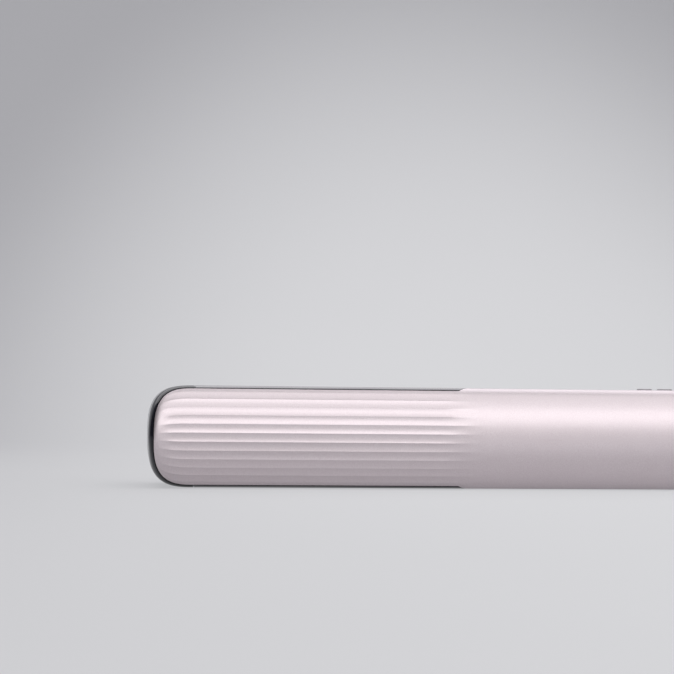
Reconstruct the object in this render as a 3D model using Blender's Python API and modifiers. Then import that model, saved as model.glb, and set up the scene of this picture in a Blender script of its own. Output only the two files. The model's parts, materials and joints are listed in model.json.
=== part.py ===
"""Hot air straightener: two hinged arms on a blower base, closed and lying on its narrow side.

X runs along the body from the tips to the base, Y through the two arms, Z across their width.
Lengths are in metres. Outlines of an arm are drawn for the front arm, with depths measured from the
middle plane between the arms, and the rear arm mirrors it.
"""
import math

import bmesh
import bpy
from mathutils import Matrix, Vector

# Driving dimensions of the body
ARM_WIDTH = 0.0400
ARM_DEPTH = 0.0300
ARM_GAP = 0.0020
CROWN_DEPTH = 0.0130
HEAD_LENGTH = 0.1272
HANDLE_LENGTH = 0.1128
HINGE_GAP = 0.0026
HOUSING_LENGTH = 0.0340
CAGE_GAP = 0.0004
CAGE_LENGTH = 0.0230

# Fits
CLEARANCE = 0.0003
OVERRUN = 0.0010
FAR = 0.1000

# Outer shell of an arm: rounded tip, walls and flutes
TIP_LENGTH = 0.0180
TIP_POWER = 3
DROP_LENGTH = 0.0090
SHELL_TIP_INSET = 0.0023
SHELL_SIDE_INSET = 0.0012
SHELL_WALL = 0.0018
SKIRT_DROP = 0.0010
FLUTE_PITCH = 0.00348
FLUTE_DEPTH = 0.00030
FLUTE_COUNT = 11
FLUTE_FACETS = 4
FLUTE_START = 0.0070
FLUTE_FULL = 0.0110
FLUTE_OVERHANG = 0.0028
FLUTE_FADE_LENGTH = 0.0120
TIP_SHARES = (0.004, 0.02, 0.06, 0.14, 0.28, 0.5, 0.75, 1.0)
MARGIN_SHARES = (0.2, 0.4, 0.6, 0.8, 1.0)

# Side frame and inner face
FACE_THICKNESS = 0.0020
WINDOW_START = 0.0220
WINDOW_SETBACK = 0.0102
NOZZLE_HALF = 0.0070
RIB_WIDTH = 0.0016
BAR_INSET = 0.0044
BAR_PROUD = 0.0005
BAR_FLANGE = 0.0006
BAR_BACK = 0.0012
NOZZLE_RECESS = 0.0002
NOZZLE_FLANGE = 0.0007
NOZZLE_BACK = 0.0009
SLOT_LENGTH = 0.0062
SLOT_WIDTH = 0.0015
SLOT_PITCH = 0.0080
SLOT_ROW = 0.0033
SLOT_ANGLE = 30

# Handle frame, hinge and gear
HINGE_OFFSET = 0.0180
HINGE_SETBACK = 0.0040
OPENING_ANGLE = 9
PLATE_SETBACK = 0.0020
PIN_RADIUS = 0.0015
PIN_CHAMFER = 0.0003
BARREL_RADIUS = 0.0035
BARREL_INSET = 0.0083
BARREL_LENGTH = 0.0050
WEB_THICKNESS = 0.0020
WEB_LENGTH = 0.0160
EAR_RADIUS = 0.0032
EAR_THICKNESS = 0.0025
GEAR_MODULE = 0.0010
GEAR_BACKLASH = 0.0002
GEAR_ADDENDUM = 0.00085
GEAR_DEDENDUM = 0.00120
GEAR_PRESSURE_ANGLE = 20
GEAR_INSET = 0.0002
GEAR_FOOT = 0.0105
FRONT_TEETH = (-1.0, 0.0, 1.0)
REAR_TEETH = (-1.5, -0.5, 0.5, 1.5)

# Opening springs
SPRING_RADIUS = 0.0030
SPRING_WIRE = 0.0004
SPRING_PITCH = 0.0013
SPRING_TURNS = 4
SPRING_REACH = 0.0130
TURN_POINTS = 12

# Air duct, heater core and thermal cut-out
DUCT_INSET = 0.0110
DUCT_GAP = 0.0007
DUCT_WALL = 0.0008
DUCT_OVERHANG = 0.0010
HEATER_LENGTH = 0.0400
HEATER_BOARD = 0.0008
HEATER_START = 0.0080
CUTOUT_RADIUS = 0.0040
CUTOUT_HEIGHT = 0.0025

# Controls on the front arm's narrow side
DISPLAY_LENGTH = 0.0200
DISPLAY_WIDTH = 0.0090
DISPLAY_FLANGE = 0.0010
CONTROL_SETBACK = 0.0048
CONTROL_CORNER = 0.0020
BUTTON_GAP = 0.0022
BUTTON_PROUD = 0.0005
BUTTON_FLANGE = 0.0007
BUTTON_FLANGE_THICKNESS = 0.0009
BUTTON_TRAVEL = 0.0006
SMALL_BUTTON_RADIUS = 0.0031
POWER_BUTTON_RADIUS = 0.0039
BOARD_THICKNESS = 0.0010
BOARD_MARGIN = 0.0018
BOARD_INSET = 0.0030
SWITCH_SIZE = 0.0030
SWITCH_HEIGHT = 0.0004
SWITCH_GAP = 0.0001

# Screws
SCREW_RADIUS = 0.0011
SCREW_HEAD_RADIUS = 0.0023
SCREW_HEAD_HEIGHT = 0.0010
SCREW_HEAD_CHAMFER = 0.0005
SCREW_LENGTH = 0.0060
BOSS_RADIUS = 0.0026
BOSS_INSET = 0.0054
HANDLE_SCREW_START = 0.0100
HANDLE_SCREW_END = 0.0120

# Blower base
HOUSING_WALL = 0.0018
BULKHEAD_SETBACK = 0.0007
BULKHEAD_THICKNESS = 0.0020
SPIGOT_CLEARANCE = 0.0007
SPIGOT_WALL = 0.0010
SPIGOT_INSERT = 0.0020
FAN_GAP = 0.0057
FAN_INSET = 0.0075
FAN_HUB_RADIUS = 0.0045
FAN_LENGTH = 0.0066
FAN_DISC = 0.0012
FAN_BLADES = 9
FAN_BLADE_THICKNESS = 0.0008
FAN_SWEEP = 40
FAN_BLADE_INSET = 0.0004
SHAFT_RADIUS = 0.0010
MOTOR_INSET = 0.0070
MOTOR_LENGTH = 0.0154
MOUNT_THICKNESS = 0.0040
MOUNT_SETBACK = 0.0064
MAIN_BOARD_RISE = 0.0020
MAIN_BOARD_HALF = 0.0120
BASE_SCREW_INSET = 0.0075
BASE_BOSS_LENGTH = 0.0056
INLET_THICKNESS = 0.0020
INLET_HOLE_RADIUS = 0.0034
INLET_HOLE_RING = 0.0118
INLET_HOLES = 8
TUBE_RADIUS = 0.0065
TUBE_WALL = 0.0015
TUBE_LENGTH = 0.0200
GLAND_BORE = 0.0032
GLAND_LENGTH = 0.0110
GLAND_FLANGE = 0.0022
FILTER_INSET = 0.0040
FILTER_WALL = 0.0010
FILTER_LENGTH = 0.0170

# Pull-off filter cage
CAGE_WALL = 0.0015
CAGE_ROUND = 0.0060
CAGE_ROUND_INSET = 0.0036
CAGE_HOLE_RADIUS = 0.0085
CAGE_SLOTS = 36
CAGE_SLOT_WIDTH = 0.0016
CAGE_SLOT_LENGTH = 0.0125
CAGE_SLOT_SETBACK = 0.0030
CAGE_TRAVEL = 0.0240

# Arm lock
LOCK_TRAVEL = 0.0045
LOCK_HALF = 0.0007
LOCK_INSET = 0.0105
LOCK_HEIGHT = 0.0050
LOCK_TAB_LENGTH = 0.0060
LOCK_TAB_SETBACK = 0.0250
LOCK_TAB_THICKNESS = 0.0015
LOCK_WINDOW_LENGTH = 0.0130
LOCK_HEAD_HALF = 0.0043
LOCK_FINGER = 0.0010
LOCK_FINGER_INSET = 0.0001
LOCK_WEB = 0.0015
LOCK_RISE_START = 0.0024
LOCK_RISE_HEIGHT = 0.0030
LOCK_TAIL = 0.0155
KNOB_LENGTH = 0.0120
KNOB_WIDTH = 0.0100
KNOB_HEIGHT = 0.0016
KNOB_SETBACK = 0.0074
KNOB_STEM_LENGTH = 0.0035
KNOB_STEM_WIDTH = 0.0028
KNOB_RIDGES = 4
KNOB_RIDGE_HEIGHT = 0.0004
KNOB_RIDGE_WIDTH = 0.0008

# Facets of round pieces
SCREW_FACETS = 12
ROUND_FACETS = 16
FINE_FACETS = 32
CROWN_STEPS = 12

# Sizes that follow the arm's width
HALF_WIDTH = ARM_WIDTH / 2
BOSS_HALF = HALF_WIDTH - BOSS_INSET
LOCK_LOW = HALF_WIDTH - LOCK_INSET
DUCT_HALF = HALF_WIDTH - DUCT_INSET
BARREL_HALF = HALF_WIDTH - BARREL_INSET
FAN_RADIUS = HALF_WIDTH - FAN_INSET
MOTOR_RADIUS = HALF_WIDTH - MOTOR_INSET
BAR_WIDTH = HALF_WIDTH - BAR_INSET - NOZZLE_HALF - RIB_WIDTH

# Places across and along the body, from the gap and from the tip
INNER = ARM_GAP / 2
SHOULDER = INNER + ARM_DEPTH - CROWN_DEPTH
ARM_LENGTH = HEAD_LENGTH + HANDLE_LENGTH
HOUSING_START = ARM_LENGTH + HINGE_GAP
HOUSING_END = HOUSING_START + HOUSING_LENGTH
CAGE_START = HOUSING_END + CAGE_GAP
OVERALL_LENGTH = CAGE_START + CAGE_LENGTH
HINGE_PLACE = ARM_LENGTH - HINGE_SETBACK
BULKHEAD_FRONT = HOUSING_START + BULKHEAD_SETBACK
BULKHEAD_BACK = BULKHEAD_FRONT + BULKHEAD_THICKNESS
FAN_START = BULKHEAD_BACK + FAN_GAP
FAN_END = FAN_START + FAN_LENGTH
INLET_BACK = HOUSING_END
INLET_FRONT = INLET_BACK - INLET_THICKNESS
MOTOR_END = INLET_FRONT - CLEARANCE
MOTOR_START = MOTOR_END - MOTOR_LENGTH
FACE_BACK = INNER + FACE_THICKNESS
FLUTE_END = HEAD_LENGTH + FLUTE_OVERHANG
FLUTE_FADE = FLUTE_END - FLUTE_FADE_LENGTH
DUCT_HEIGHT = HINGE_OFFSET - BARREL_RADIUS - DUCT_GAP - FACE_BACK - CLEARANCE
BASE_SCREW_OFFSET = SHOULDER + CROWN_DEPTH - BASE_SCREW_INSET
CONTROL_DEPTH = (FACE_BACK + SHOULDER) / 2
BUTTON_RADII = {
    "heat_up_button": SMALL_BUTTON_RADIUS,
    "heat_down_button": SMALL_BUTTON_RADIUS,
    "mode_button": SMALL_BUTTON_RADIUS,
    "power_button": POWER_BUTTON_RADIUS,
}
CONTROL_LENGTH = DISPLAY_LENGTH + sum(BUTTON_GAP + 2 * radius for radius in BUTTON_RADII.values())
CONTROL_START = HINGE_PLACE - CONTROL_SETBACK - CONTROL_LENGTH
SHELL_HALF = HALF_WIDTH - SHELL_SIDE_INSET
CAVITY_HALF = SHELL_HALF - SHELL_WALL
WALL_INSIDE = HALF_WIDTH - SHELL_WALL


def new_collection(name):
    made = bpy.data.collections.new(name)
    bpy.context.scene.collection.children.link(made)
    return made


def paint(name, color, roughness, metallic=0.0):
    """A Principled material."""
    material = bpy.data.materials.new(name)
    material.use_nodes = True
    shader = material.node_tree.nodes["Principled BSDF"]
    shader.inputs["Base Color"].default_value = (*color, 1.0)
    shader.inputs["Roughness"].default_value = roughness
    shader.inputs["Metallic"].default_value = metallic
    material.diffuse_color = (*color, 1.0)
    return material


def place(along, depth, across):
    """A point of the assembly: distance from the tip, depth along Y, height about the middle."""
    return Vector((along - OVERALL_LENGTH / 2, depth, across + HALF_WIDTH))


def mesh_object(name, bm, collection):
    bmesh.ops.recalc_face_normals(bm, faces=bm.faces)
    mesh = bpy.data.meshes.new(name)
    bm.to_mesh(mesh)
    bm.free()
    made = bpy.data.objects.new(name, mesh)
    collection.objects.link(made)
    return made


def as_cutter(made):
    """Marks a helper solid, which only cuts or joins."""
    made.hide_render = True
    made.display_type = "WIRE"
    return made


def loft(name, rings, collection):
    """A closed solid through rings of points that have equal counts."""
    bm = bmesh.new()
    loops = [[bm.verts.new(point) for point in ring] for ring in rings]
    count = len(loops[0])
    for first, second in zip(loops, loops[1:]):
        for i in range(count):
            j = (i + 1) % count
            bm.faces.new((first[i], first[j], second[j], second[i]))
    bm.faces.new(loops[0])
    bm.faces.new(loops[-1])
    return mesh_object(name, bm, collection)


def prism(name, outline, sweep, collection):
    """A closed solid: a flat outline of points, extruded by a vector."""
    bm = bmesh.new()
    face = bm.faces.new([bm.verts.new(point) for point in outline])
    grown = bmesh.ops.extrude_face_region(bm, geom=[face])["geom"]
    moved = [item for item in grown if isinstance(item, bmesh.types.BMVert)]
    bmesh.ops.translate(bm, verts=moved, vec=sweep)
    return mesh_object(name, bm, collection)


def along_prism(name, outline, start, end, collection):
    """An outline of (depth, across) pairs, extruded along the body."""
    points = [place(start, depth, across) for depth, across in outline]
    return prism(name, points, Vector((end - start, 0, 0)), collection)


def depth_prism(name, outline, near, far, collection):
    """An outline of (along, across) pairs, extruded through the arms."""
    points = [place(s, near, across) for s, across in outline]
    return prism(name, points, Vector((0, far - near, 0)), collection)


def cross_prism(name, outline, low, high, collection):
    """An outline of (along, depth) pairs, extruded across the width."""
    points = [place(s, depth, low) for s, depth in outline]
    return prism(name, points, Vector((0, 0, high - low)), collection)


def block(name, along, depth, across, collection):
    """A box between pairs of limits along the three directions."""
    first = place(along[0], depth[0], across[0])
    second = place(along[1], depth[1], across[1])
    size = Vector([abs(step) for step in second - first])
    bm = bmesh.new()
    bmesh.ops.create_cube(bm, size=1, matrix=Matrix.LocRotScale((first + second) / 2, None, size))
    return mesh_object(name, bm, collection)


def rod(name, start, end, radius, facets, collection):
    """A cylinder between two points."""
    axis = end - start
    matrix = Matrix.LocRotScale((start + end) / 2, axis.to_track_quat("Z", "X"), None)
    bm = bmesh.new()
    bmesh.ops.create_cone(
        bm, cap_ends=True, segments=facets, radius1=radius, radius2=radius, depth=axis.length, matrix=matrix
    )
    return mesh_object(name, bm, collection)


def along_rod(name, radius, facets, span, center, collection):
    """A cylinder along the body, about a (depth, across) centre."""
    ends = [place(s, *center) for s in span]
    return rod(name, *ends, radius, facets, collection)


def depth_rod(name, radius, facets, span, center, collection):
    """A cylinder through the arms, about an (along, across) centre."""
    ends = [place(center[0], depth, center[1]) for depth in span]
    return rod(name, *ends, radius, facets, collection)


def cross_rod(name, radius, facets, span, center, collection):
    """A cylinder across the width, about an (along, depth) centre."""
    ends = [place(*center, across) for across in span]
    return rod(name, *ends, radius, facets, collection)


def rounded_box(center, length, width, corner, steps=3):
    """Outline of a rectangle with round corners as pairs."""
    points = []
    for quarter in range(4):
        swing = math.pi / 2 * quarter
        sign_x = 1 if quarter in (0, 3) else -1
        sign_y = 1 if quarter in (0, 1) else -1
        middle_x = center[0] + sign_x * (length / 2 - corner)
        middle_y = center[1] + sign_y * (width / 2 - corner)
        for step in range(steps + 1):
            angle = swing + math.pi / 2 * step / steps
            points.append((middle_x + corner * math.cos(angle), middle_y + corner * math.sin(angle)))
    return points


def turned(name, profile, facets, collection):
    """A turned solid along Z: profile of (radius, height) from the top pole down to the bottom one."""
    bm = bmesh.new()
    verts = [bm.verts.new((radius, 0, height)) for radius, height in profile]
    for first, second in zip(verts, verts[1:]):
        bm.edges.new((first, second))
    mesh = bpy.data.meshes.new(name)
    bm.to_mesh(mesh)
    bm.free()
    draft = bpy.data.objects.new(name, mesh)
    collection.objects.link(draft)
    screw = draft.modifiers.new("turn", "SCREW")
    screw.steps = facets
    screw.render_steps = facets
    screw.use_merge_vertices = True
    screw.merge_threshold = 0.00001
    return baked(draft)


def evaluated_copy(source):
    graph = bpy.context.evaluated_depsgraph_get()
    return bpy.data.meshes.new_from_object(source.evaluated_get(graph))


def baked(draft):
    """Applies an object's modifiers to its mesh and closes its seams."""
    bpy.context.view_layer.update()
    mesh = evaluated_copy(draft)
    draft.modifiers.clear()
    bm = bmesh.new()
    bm.from_mesh(mesh)
    bmesh.ops.remove_doubles(bm, verts=bm.verts, dist=0.000001)
    bmesh.ops.recalc_face_normals(bm, faces=bm.faces)
    bm.to_mesh(mesh)
    bm.free()
    draft.data = mesh
    mesh.name = draft.name
    return draft


def settle(made, matrix):
    """Moves an object's mesh, leaving the object itself where it is."""
    made.data.transform(matrix)
    return made


def boolean(target, other, operation):
    modifier = target.modifiers.new(other.name, "BOOLEAN")
    modifier.operation = operation
    modifier.solver = "EXACT"
    modifier.object = other
    return target


def cut(target, *others):
    for other in others:
        boolean(target, as_cutter(other), "DIFFERENCE")
    return target


def join(target, *others):
    for other in others:
        boolean(target, as_cutter(other), "UNION")
    return target


def common(target, other):
    return boolean(target, as_cutter(other), "INTERSECT")


def helper_group(name, pieces):
    """Several helper solids that stay clear of each other, as one helper."""
    bm = bmesh.new()
    for piece in pieces:
        bm.from_mesh(piece.data)
        bpy.data.objects.remove(piece)
    return mesh_object(name, bm, CUTTERS)


def smooth(made):
    """Shades round faces smooth and keeps edges crisp."""
    made.data.shade_smooth()
    made.data.set_sharp_from_angle(angle=math.radians(30))
    return made


def finish(made, material, parent):
    """Gives a piece its material and hangs it from its body's empty."""
    made.data.materials.clear()
    made.data.materials.append(material)
    smooth(made)
    made.parent = parent
    made.matrix_parent_inverse = parent.matrix_world.inverted()
    return made


def mirrored(source, name):
    """The rear arm's copy of a front arm's piece."""
    bpy.context.view_layer.update()
    mesh = evaluated_copy(source)
    bm = bmesh.new()
    bm.from_mesh(mesh)
    bmesh.ops.transform(bm, matrix=Matrix.Scale(-1, 4, (0, 1, 0)), verts=bm.verts)
    bmesh.ops.reverse_faces(bm, faces=bm.faces)
    bm.to_mesh(mesh)
    bm.free()
    mesh.name = name
    made = bpy.data.objects.new(name, mesh)
    PARTS.objects.link(made)
    return made


def tip_share(distance, length):
    """How far a rounded tip has opened, from 0 at its end to 1 past its length."""
    if distance >= length:
        return 1.0
    return (1 - (1 - distance / length) ** TIP_POWER) ** (1 / TIP_POWER)


def crown_angles():
    """Angles on the crown's half ellipse at the flutes' facets and on the smooth margins."""
    count = 2000
    arc, arcs, angles = 0.0, [0.0], [0.0]
    for i in range(count):
        middle = math.pi / 2 * (i + 0.5) / count
        step = math.hypot(HALF_WIDTH * math.cos(middle), CROWN_DEPTH * math.sin(middle))
        arc += step * math.pi / 2 / count
        arcs.append(arc)
        angles.append(math.pi / 2 * (i + 1) / count)
    half = []
    facets = FLUTE_COUNT * FLUTE_FACETS
    for i in range(facets + 1):
        flute = (i - facets / 2) / FLUTE_FACETS
        reach = abs(flute) * FLUTE_PITCH
        k = next(n for n, value in enumerate(arcs) if value >= reach)
        half.append((math.copysign(angles[k], flute), flute))
    last = half[-1][0]
    margin = [(last + (math.pi / 2 - last) * share, None) for share in MARGIN_SHARES]
    return [(-angle, None) for angle, _ in reversed(margin)] + half + margin


def flute_strength(along):
    """Share of the full flute depth at a distance from the tip."""
    rise = min(max((along - FLUTE_START) / (FLUTE_FULL - FLUTE_START), 0), 1)
    fall = min(max((FLUTE_END - along) / (FLUTE_END - FLUTE_FADE), 0), 1)
    return (3 - 2 * rise) * rise**2 * (3 - 2 * fall) * fall**2


def fluted_ring(along, angles):
    """The arm's outer section: straight sides and a crown with concave flutes."""
    half = HALF_WIDTH * tip_share(along, TIP_LENGTH)
    depth = CROWN_DEPTH * tip_share(along, DROP_LENGTH)
    ring = [place(along, -INNER, -half)]
    for angle, flute in angles:
        across, rise = half * math.sin(angle), depth * math.cos(angle)
        if flute is not None:
            scoop = FLUTE_DEPTH * flute_strength(along) * (1 - 4 * (flute - round(flute)) ** 2)
            normal = Vector((math.sin(angle) / half, math.cos(angle) / depth)).normalized()
            across -= scoop * normal[0]
            rise -= scoop * normal[1]
        ring.append(place(along, -SHOULDER - rise, across))
    ring.append(place(along, -INNER, half))
    return ring


def plain_ring(along, tip_inset, side_inset, crown_inset, bottom):
    """A smooth arm section inset from the outer one, closed at a depth given by bottom."""
    half = (HALF_WIDTH - side_inset) * tip_share(along - tip_inset, TIP_LENGTH - tip_inset)
    depth = (CROWN_DEPTH - crown_inset) * tip_share(along - tip_inset, DROP_LENGTH)
    ring = [place(along, -bottom, -half)]
    for step in range(CROWN_STEPS + 1):
        angle = math.pi * (step / CROWN_STEPS - 1 / 2)
        ring.append(place(along, -SHOULDER - depth * math.cos(angle), half * math.sin(angle)))
    ring.append(place(along, -bottom, half))
    return ring


def plan_outline(tip_inset, side_inset, end):
    """Outline of the arm seen from its outer side, inset, from the tip to a distance."""
    length = TIP_LENGTH - tip_inset
    half = HALF_WIDTH - side_inset
    side = [(tip_inset + length * share, half * tip_share(share, 1.0)) for share in TIP_SHARES]
    side.append((end, half))
    return side + [(s, -across) for s, across in reversed(side)]


def slant(depth):
    """Where the side frame's slanted end lies at a depth."""
    return HEAD_LENGTH + SHOULDER - depth


def head_and_handle(name):
    """Keeps the shell's crown within the frame over the head, and all of it over the handle."""
    outline = plan_outline(SHELL_TIP_INSET, SHELL_SIDE_INSET, HEAD_LENGTH + SKIRT_DROP)
    head = depth_prism(name, outline, SKIRT_DROP - SHOULDER, -FAR, CUTTERS)
    handle_outline = [(slant(0), 0), (slant(FAR), -FAR), (OVERALL_LENGTH, -FAR), (OVERALL_LENGTH, 0)]
    handle = cross_prism(name + "_handle", handle_outline, -HALF_WIDTH - OVERRUN, HALF_WIDTH + OVERRUN, CUTTERS)
    return join(head, handle)


def arm_shell():
    """Fluted crown over the head, smooth channel over the handle, screw bosses inside."""
    angles = crown_angles()
    stations = [TIP_LENGTH * share for share in TIP_SHARES[2:]]
    stations += [FLUTE_START, FLUTE_FULL, FLUTE_FADE, (FLUTE_FADE + FLUTE_END) / 2, FLUTE_END, ARM_LENGTH]
    shell = loft("front_shell", [fluted_ring(s, angles) for s in sorted(stations)], PARTS)
    common(shell, head_and_handle("shell_limits"))
    tip_inset = SHELL_TIP_INSET + SHELL_WALL
    side_inset = SHELL_SIDE_INSET + SHELL_WALL
    inner_stations = [tip_inset + (TIP_LENGTH - tip_inset) * share for share in TIP_SHARES[1:]]
    rings = [
        plain_ring(s, tip_inset, side_inset, SHELL_WALL, -OVERRUN)
        for s in inner_stations + [ARM_LENGTH + OVERRUN]
    ]
    hollow = loft("shell_hollow", rings, CUTTERS)
    handle_hollow = block(
        "handle_hollow",
        (slant(INNER) + CLEARANCE, ARM_LENGTH + OVERRUN),
        (-SHOULDER, OVERRUN),
        (-WALL_INSIDE, WALL_INSIDE),
        CUTTERS,
    )
    cut(shell, hollow, handle_hollow)
    rim = (BOSS_HALF + BOSS_RADIUS) / HALF_WIDTH
    reach = SHOULDER + CROWN_DEPTH * math.sqrt(1 - rim**2) - SHELL_WALL / 2
    for i, (along, across) in enumerate(handle_screws()):
        center = (along, across)
        top = FACE_BACK + CLEARANCE
        deep = top + SCREW_LENGTH + CLEARANCE
        boss = depth_rod(f"shell_boss_{i}", BOSS_RADIUS, ROUND_FACETS, (-reach, -top), center, CUTTERS)
        bore_radius = SCREW_RADIUS + CLEARANCE
        bore = depth_rod(f"boss_bore_{i}", bore_radius, ROUND_FACETS, (-deep, OVERRUN), center, CUTTERS)
        cut(join(shell, boss), bore)
    return shell


def handle_screws():
    """Places of the handle's screws as (along, across) pairs."""
    near = slant(INNER) + HANDLE_SCREW_START
    far = HINGE_PLACE - HANDLE_SCREW_END
    return ((near, BOSS_HALF), (near, -BOSS_HALF), (far, -BOSS_HALF))


def tip_cap():
    """Dark cap that wraps the arm's end, with the shell seated in it."""
    rings = [plain_ring(TIP_LENGTH * share, 0, 0, 0, INNER) for share in TIP_SHARES]
    cap = loft("front_tip_cap", rings, PARTS)
    seat_outline = plan_outline(
        SHELL_TIP_INSET - CLEARANCE, SHELL_SIDE_INSET - CLEARANCE, TIP_LENGTH + OVERRUN
    )
    seat = depth_prism("cap_seat", seat_outline, SKIRT_DROP - SHOULDER + CLEARANCE, -FAR, CUTTERS)
    hollow_outline = plan_outline(
        SHELL_TIP_INSET + SHELL_WALL, SHELL_SIDE_INSET + SHELL_WALL, TIP_LENGTH + OVERRUN
    )
    hollow = depth_prism("cap_hollow", hollow_outline, -FACE_BACK, -SHOULDER, CUTTERS)
    return cut(cap, seat, hollow)


def side_frame():
    """Dark channel round the head: lips beside the shell, walls, and the inner face with its windows."""
    lip = HALF_WIDTH - SHELL_SIDE_INSET + CLEARANCE
    wall = CAVITY_HALF
    step = SHOULDER - SKIRT_DROP - CLEARANCE
    start_angle = math.asin(lip / HALF_WIDTH)
    half = [(-INNER, HALF_WIDTH)]
    for i in range(4):
        angle = math.pi / 2 - (math.pi / 2 - start_angle) * i / 3
        half.append((-SHOULDER - CROWN_DEPTH * math.cos(angle), HALF_WIDTH * math.sin(angle)))
    half += [(-step, lip), (-step, wall), (-FACE_BACK, wall)]
    outline = half + [(depth, -across) for depth, across in reversed(half)]
    frame = along_prism("front_side_frame", outline, TIP_LENGTH + CLEARANCE, slant(0), PARTS)
    end = [
        (slant(-OVERRUN) - CLEARANCE, OVERRUN),
        (slant(SHOULDER + CROWN_DEPTH) - CLEARANCE, -SHOULDER - CROWN_DEPTH),
        (slant(0) + FAR, -SHOULDER - CROWN_DEPTH),
        (slant(0) + FAR, OVERRUN),
    ]
    cut(frame, cross_prism("frame_end", end, -HALF_WIDTH - OVERRUN, HALF_WIDTH + OVERRUN, CUTTERS))
    window = window_span()
    through = (-FACE_BACK - OVERRUN, OVERRUN)
    low = NOZZLE_HALF + RIB_WIDTH
    openings = [
        block("nozzle_window", window, through, (-NOZZLE_HALF, NOZZLE_HALF), CUTTERS),
        block("upper_bar_window", window, through, (low, low + BAR_WIDTH), CUTTERS),
        block("lower_bar_window", window, through, (-low - BAR_WIDTH, -low), CUTTERS),
    ]
    return cut(frame, helper_group("frame_windows", openings))


def window_span():
    """Where the face's windows start and end along the body."""
    return WINDOW_START, slant(INNER) - WINDOW_SETBACK


def nozzle():
    """Slotted air outlet plate: a flange behind the face and two rows of slanting slots."""
    start, end = window_span()
    window = (start + CLEARANCE, end - CLEARANCE)
    half = NOZZLE_HALF - CLEARANCE
    plate = block("front_nozzle", window, (-FACE_BACK - OVERRUN, -INNER - NOZZLE_RECESS), (-half, half), PARTS)
    wide = NOZZLE_HALF + NOZZLE_FLANGE
    back = FACE_BACK + CLEARANCE
    flange_span = (start - NOZZLE_FLANGE, end + NOZZLE_FLANGE)
    flange = block("nozzle_flange", flange_span, (-back - NOZZLE_BACK, -back), (-wide, wide), CUTTERS)
    join(plate, flange)
    slots = []
    count = int((end - start) / SLOT_PITCH)
    middle = (start + end) / 2
    lean = math.radians(SLOT_ANGLE)
    for row in (-1, 1):
        for i in range(count):
            center = (middle + SLOT_PITCH * (i - (count - 1) / 2), row * SLOT_ROW)
            outline = []
            for x, y in rounded_box((0, 0), SLOT_LENGTH, SLOT_WIDTH, SLOT_WIDTH / 2, 1):
                turned_x = x * math.cos(lean) - y * math.sin(lean) * row
                turned_y = x * math.sin(lean) * row + y * math.cos(lean)
                outline.append((center[0] + turned_x, center[1] + turned_y))
            slots.append(depth_prism("slot", outline, -back - NOZZLE_BACK - OVERRUN, OVERRUN, CUTTERS))
    return cut(plate, helper_group("nozzle_slots", slots))


def tension_bar(name, side):
    """Aluminium bar whose crowned face stands a little proud of the inner face."""
    low = NOZZLE_HALF + RIB_WIDTH
    middle = side * (low + BAR_WIDTH / 2)
    half = BAR_WIDTH / 2 - CLEARANCE
    crown = INNER - BAR_PROUD
    back = FACE_BACK + CLEARANCE
    outline = [
        (-crown - BAR_PROUD, middle - half),
        (-crown, middle - half / 2),
        (-crown, middle + half / 2),
        (-crown - BAR_PROUD, middle + half),
        (-back, middle + half),
        (-back, middle + half + CLEARANCE + BAR_FLANGE),
        (-back - BAR_BACK, middle + half + CLEARANCE + BAR_FLANGE),
        (-back - BAR_BACK, middle - half - CLEARANCE - BAR_FLANGE),
        (-back, middle - half - CLEARANCE - BAR_FLANGE),
        (-back, middle - half),
    ]
    start, end = window_span()
    return along_prism(name, outline, start + CLEARANCE, end - CLEARANCE, PARTS)


def gear_outline(teeth):
    """Sector of an involute gear about the hinge pin, its teeth reaching over the middle plane."""
    pressure = math.radians(GEAR_PRESSURE_ANGLE)
    base = HINGE_OFFSET * math.cos(pressure)
    root = HINGE_OFFSET - GEAR_DEDENDUM
    tip = HINGE_OFFSET + GEAR_ADDENDUM
    pitch = math.pi * GEAR_MODULE / HINGE_OFFSET
    thick = (math.pi * GEAR_MODULE / 2 - GEAR_BACKLASH) / 2 / HINGE_OFFSET
    flank = []
    for step in range(4):
        radius = max(base, root) + (tip - max(base, root)) * step / 3
        at = math.acos(min(base / radius, 1))
        half = thick + (math.tan(pressure) - pressure) - (math.tan(at) - at)
        flank.append((radius, half))
    points = [(HINGE_OFFSET - GEAR_FOOT, (teeth[0] - 1 / 2) * pitch)]
    for tooth in teeth:
        points.append((root, (tooth - 1 / 2) * pitch))
        points += [(radius, tooth * pitch - half) for radius, half in flank]
        points += [(radius, tooth * pitch + half) for radius, half in reversed(flank)]
    points.append((root, (teeth[-1] + 1 / 2) * pitch))
    points.append((HINGE_OFFSET - GEAR_FOOT, (teeth[-1] + 1 / 2) * pitch))
    return [
        (HINGE_PLACE + radius * math.sin(angle), -HINGE_OFFSET + radius * math.cos(angle))
        for radius, angle in points
    ]


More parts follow.
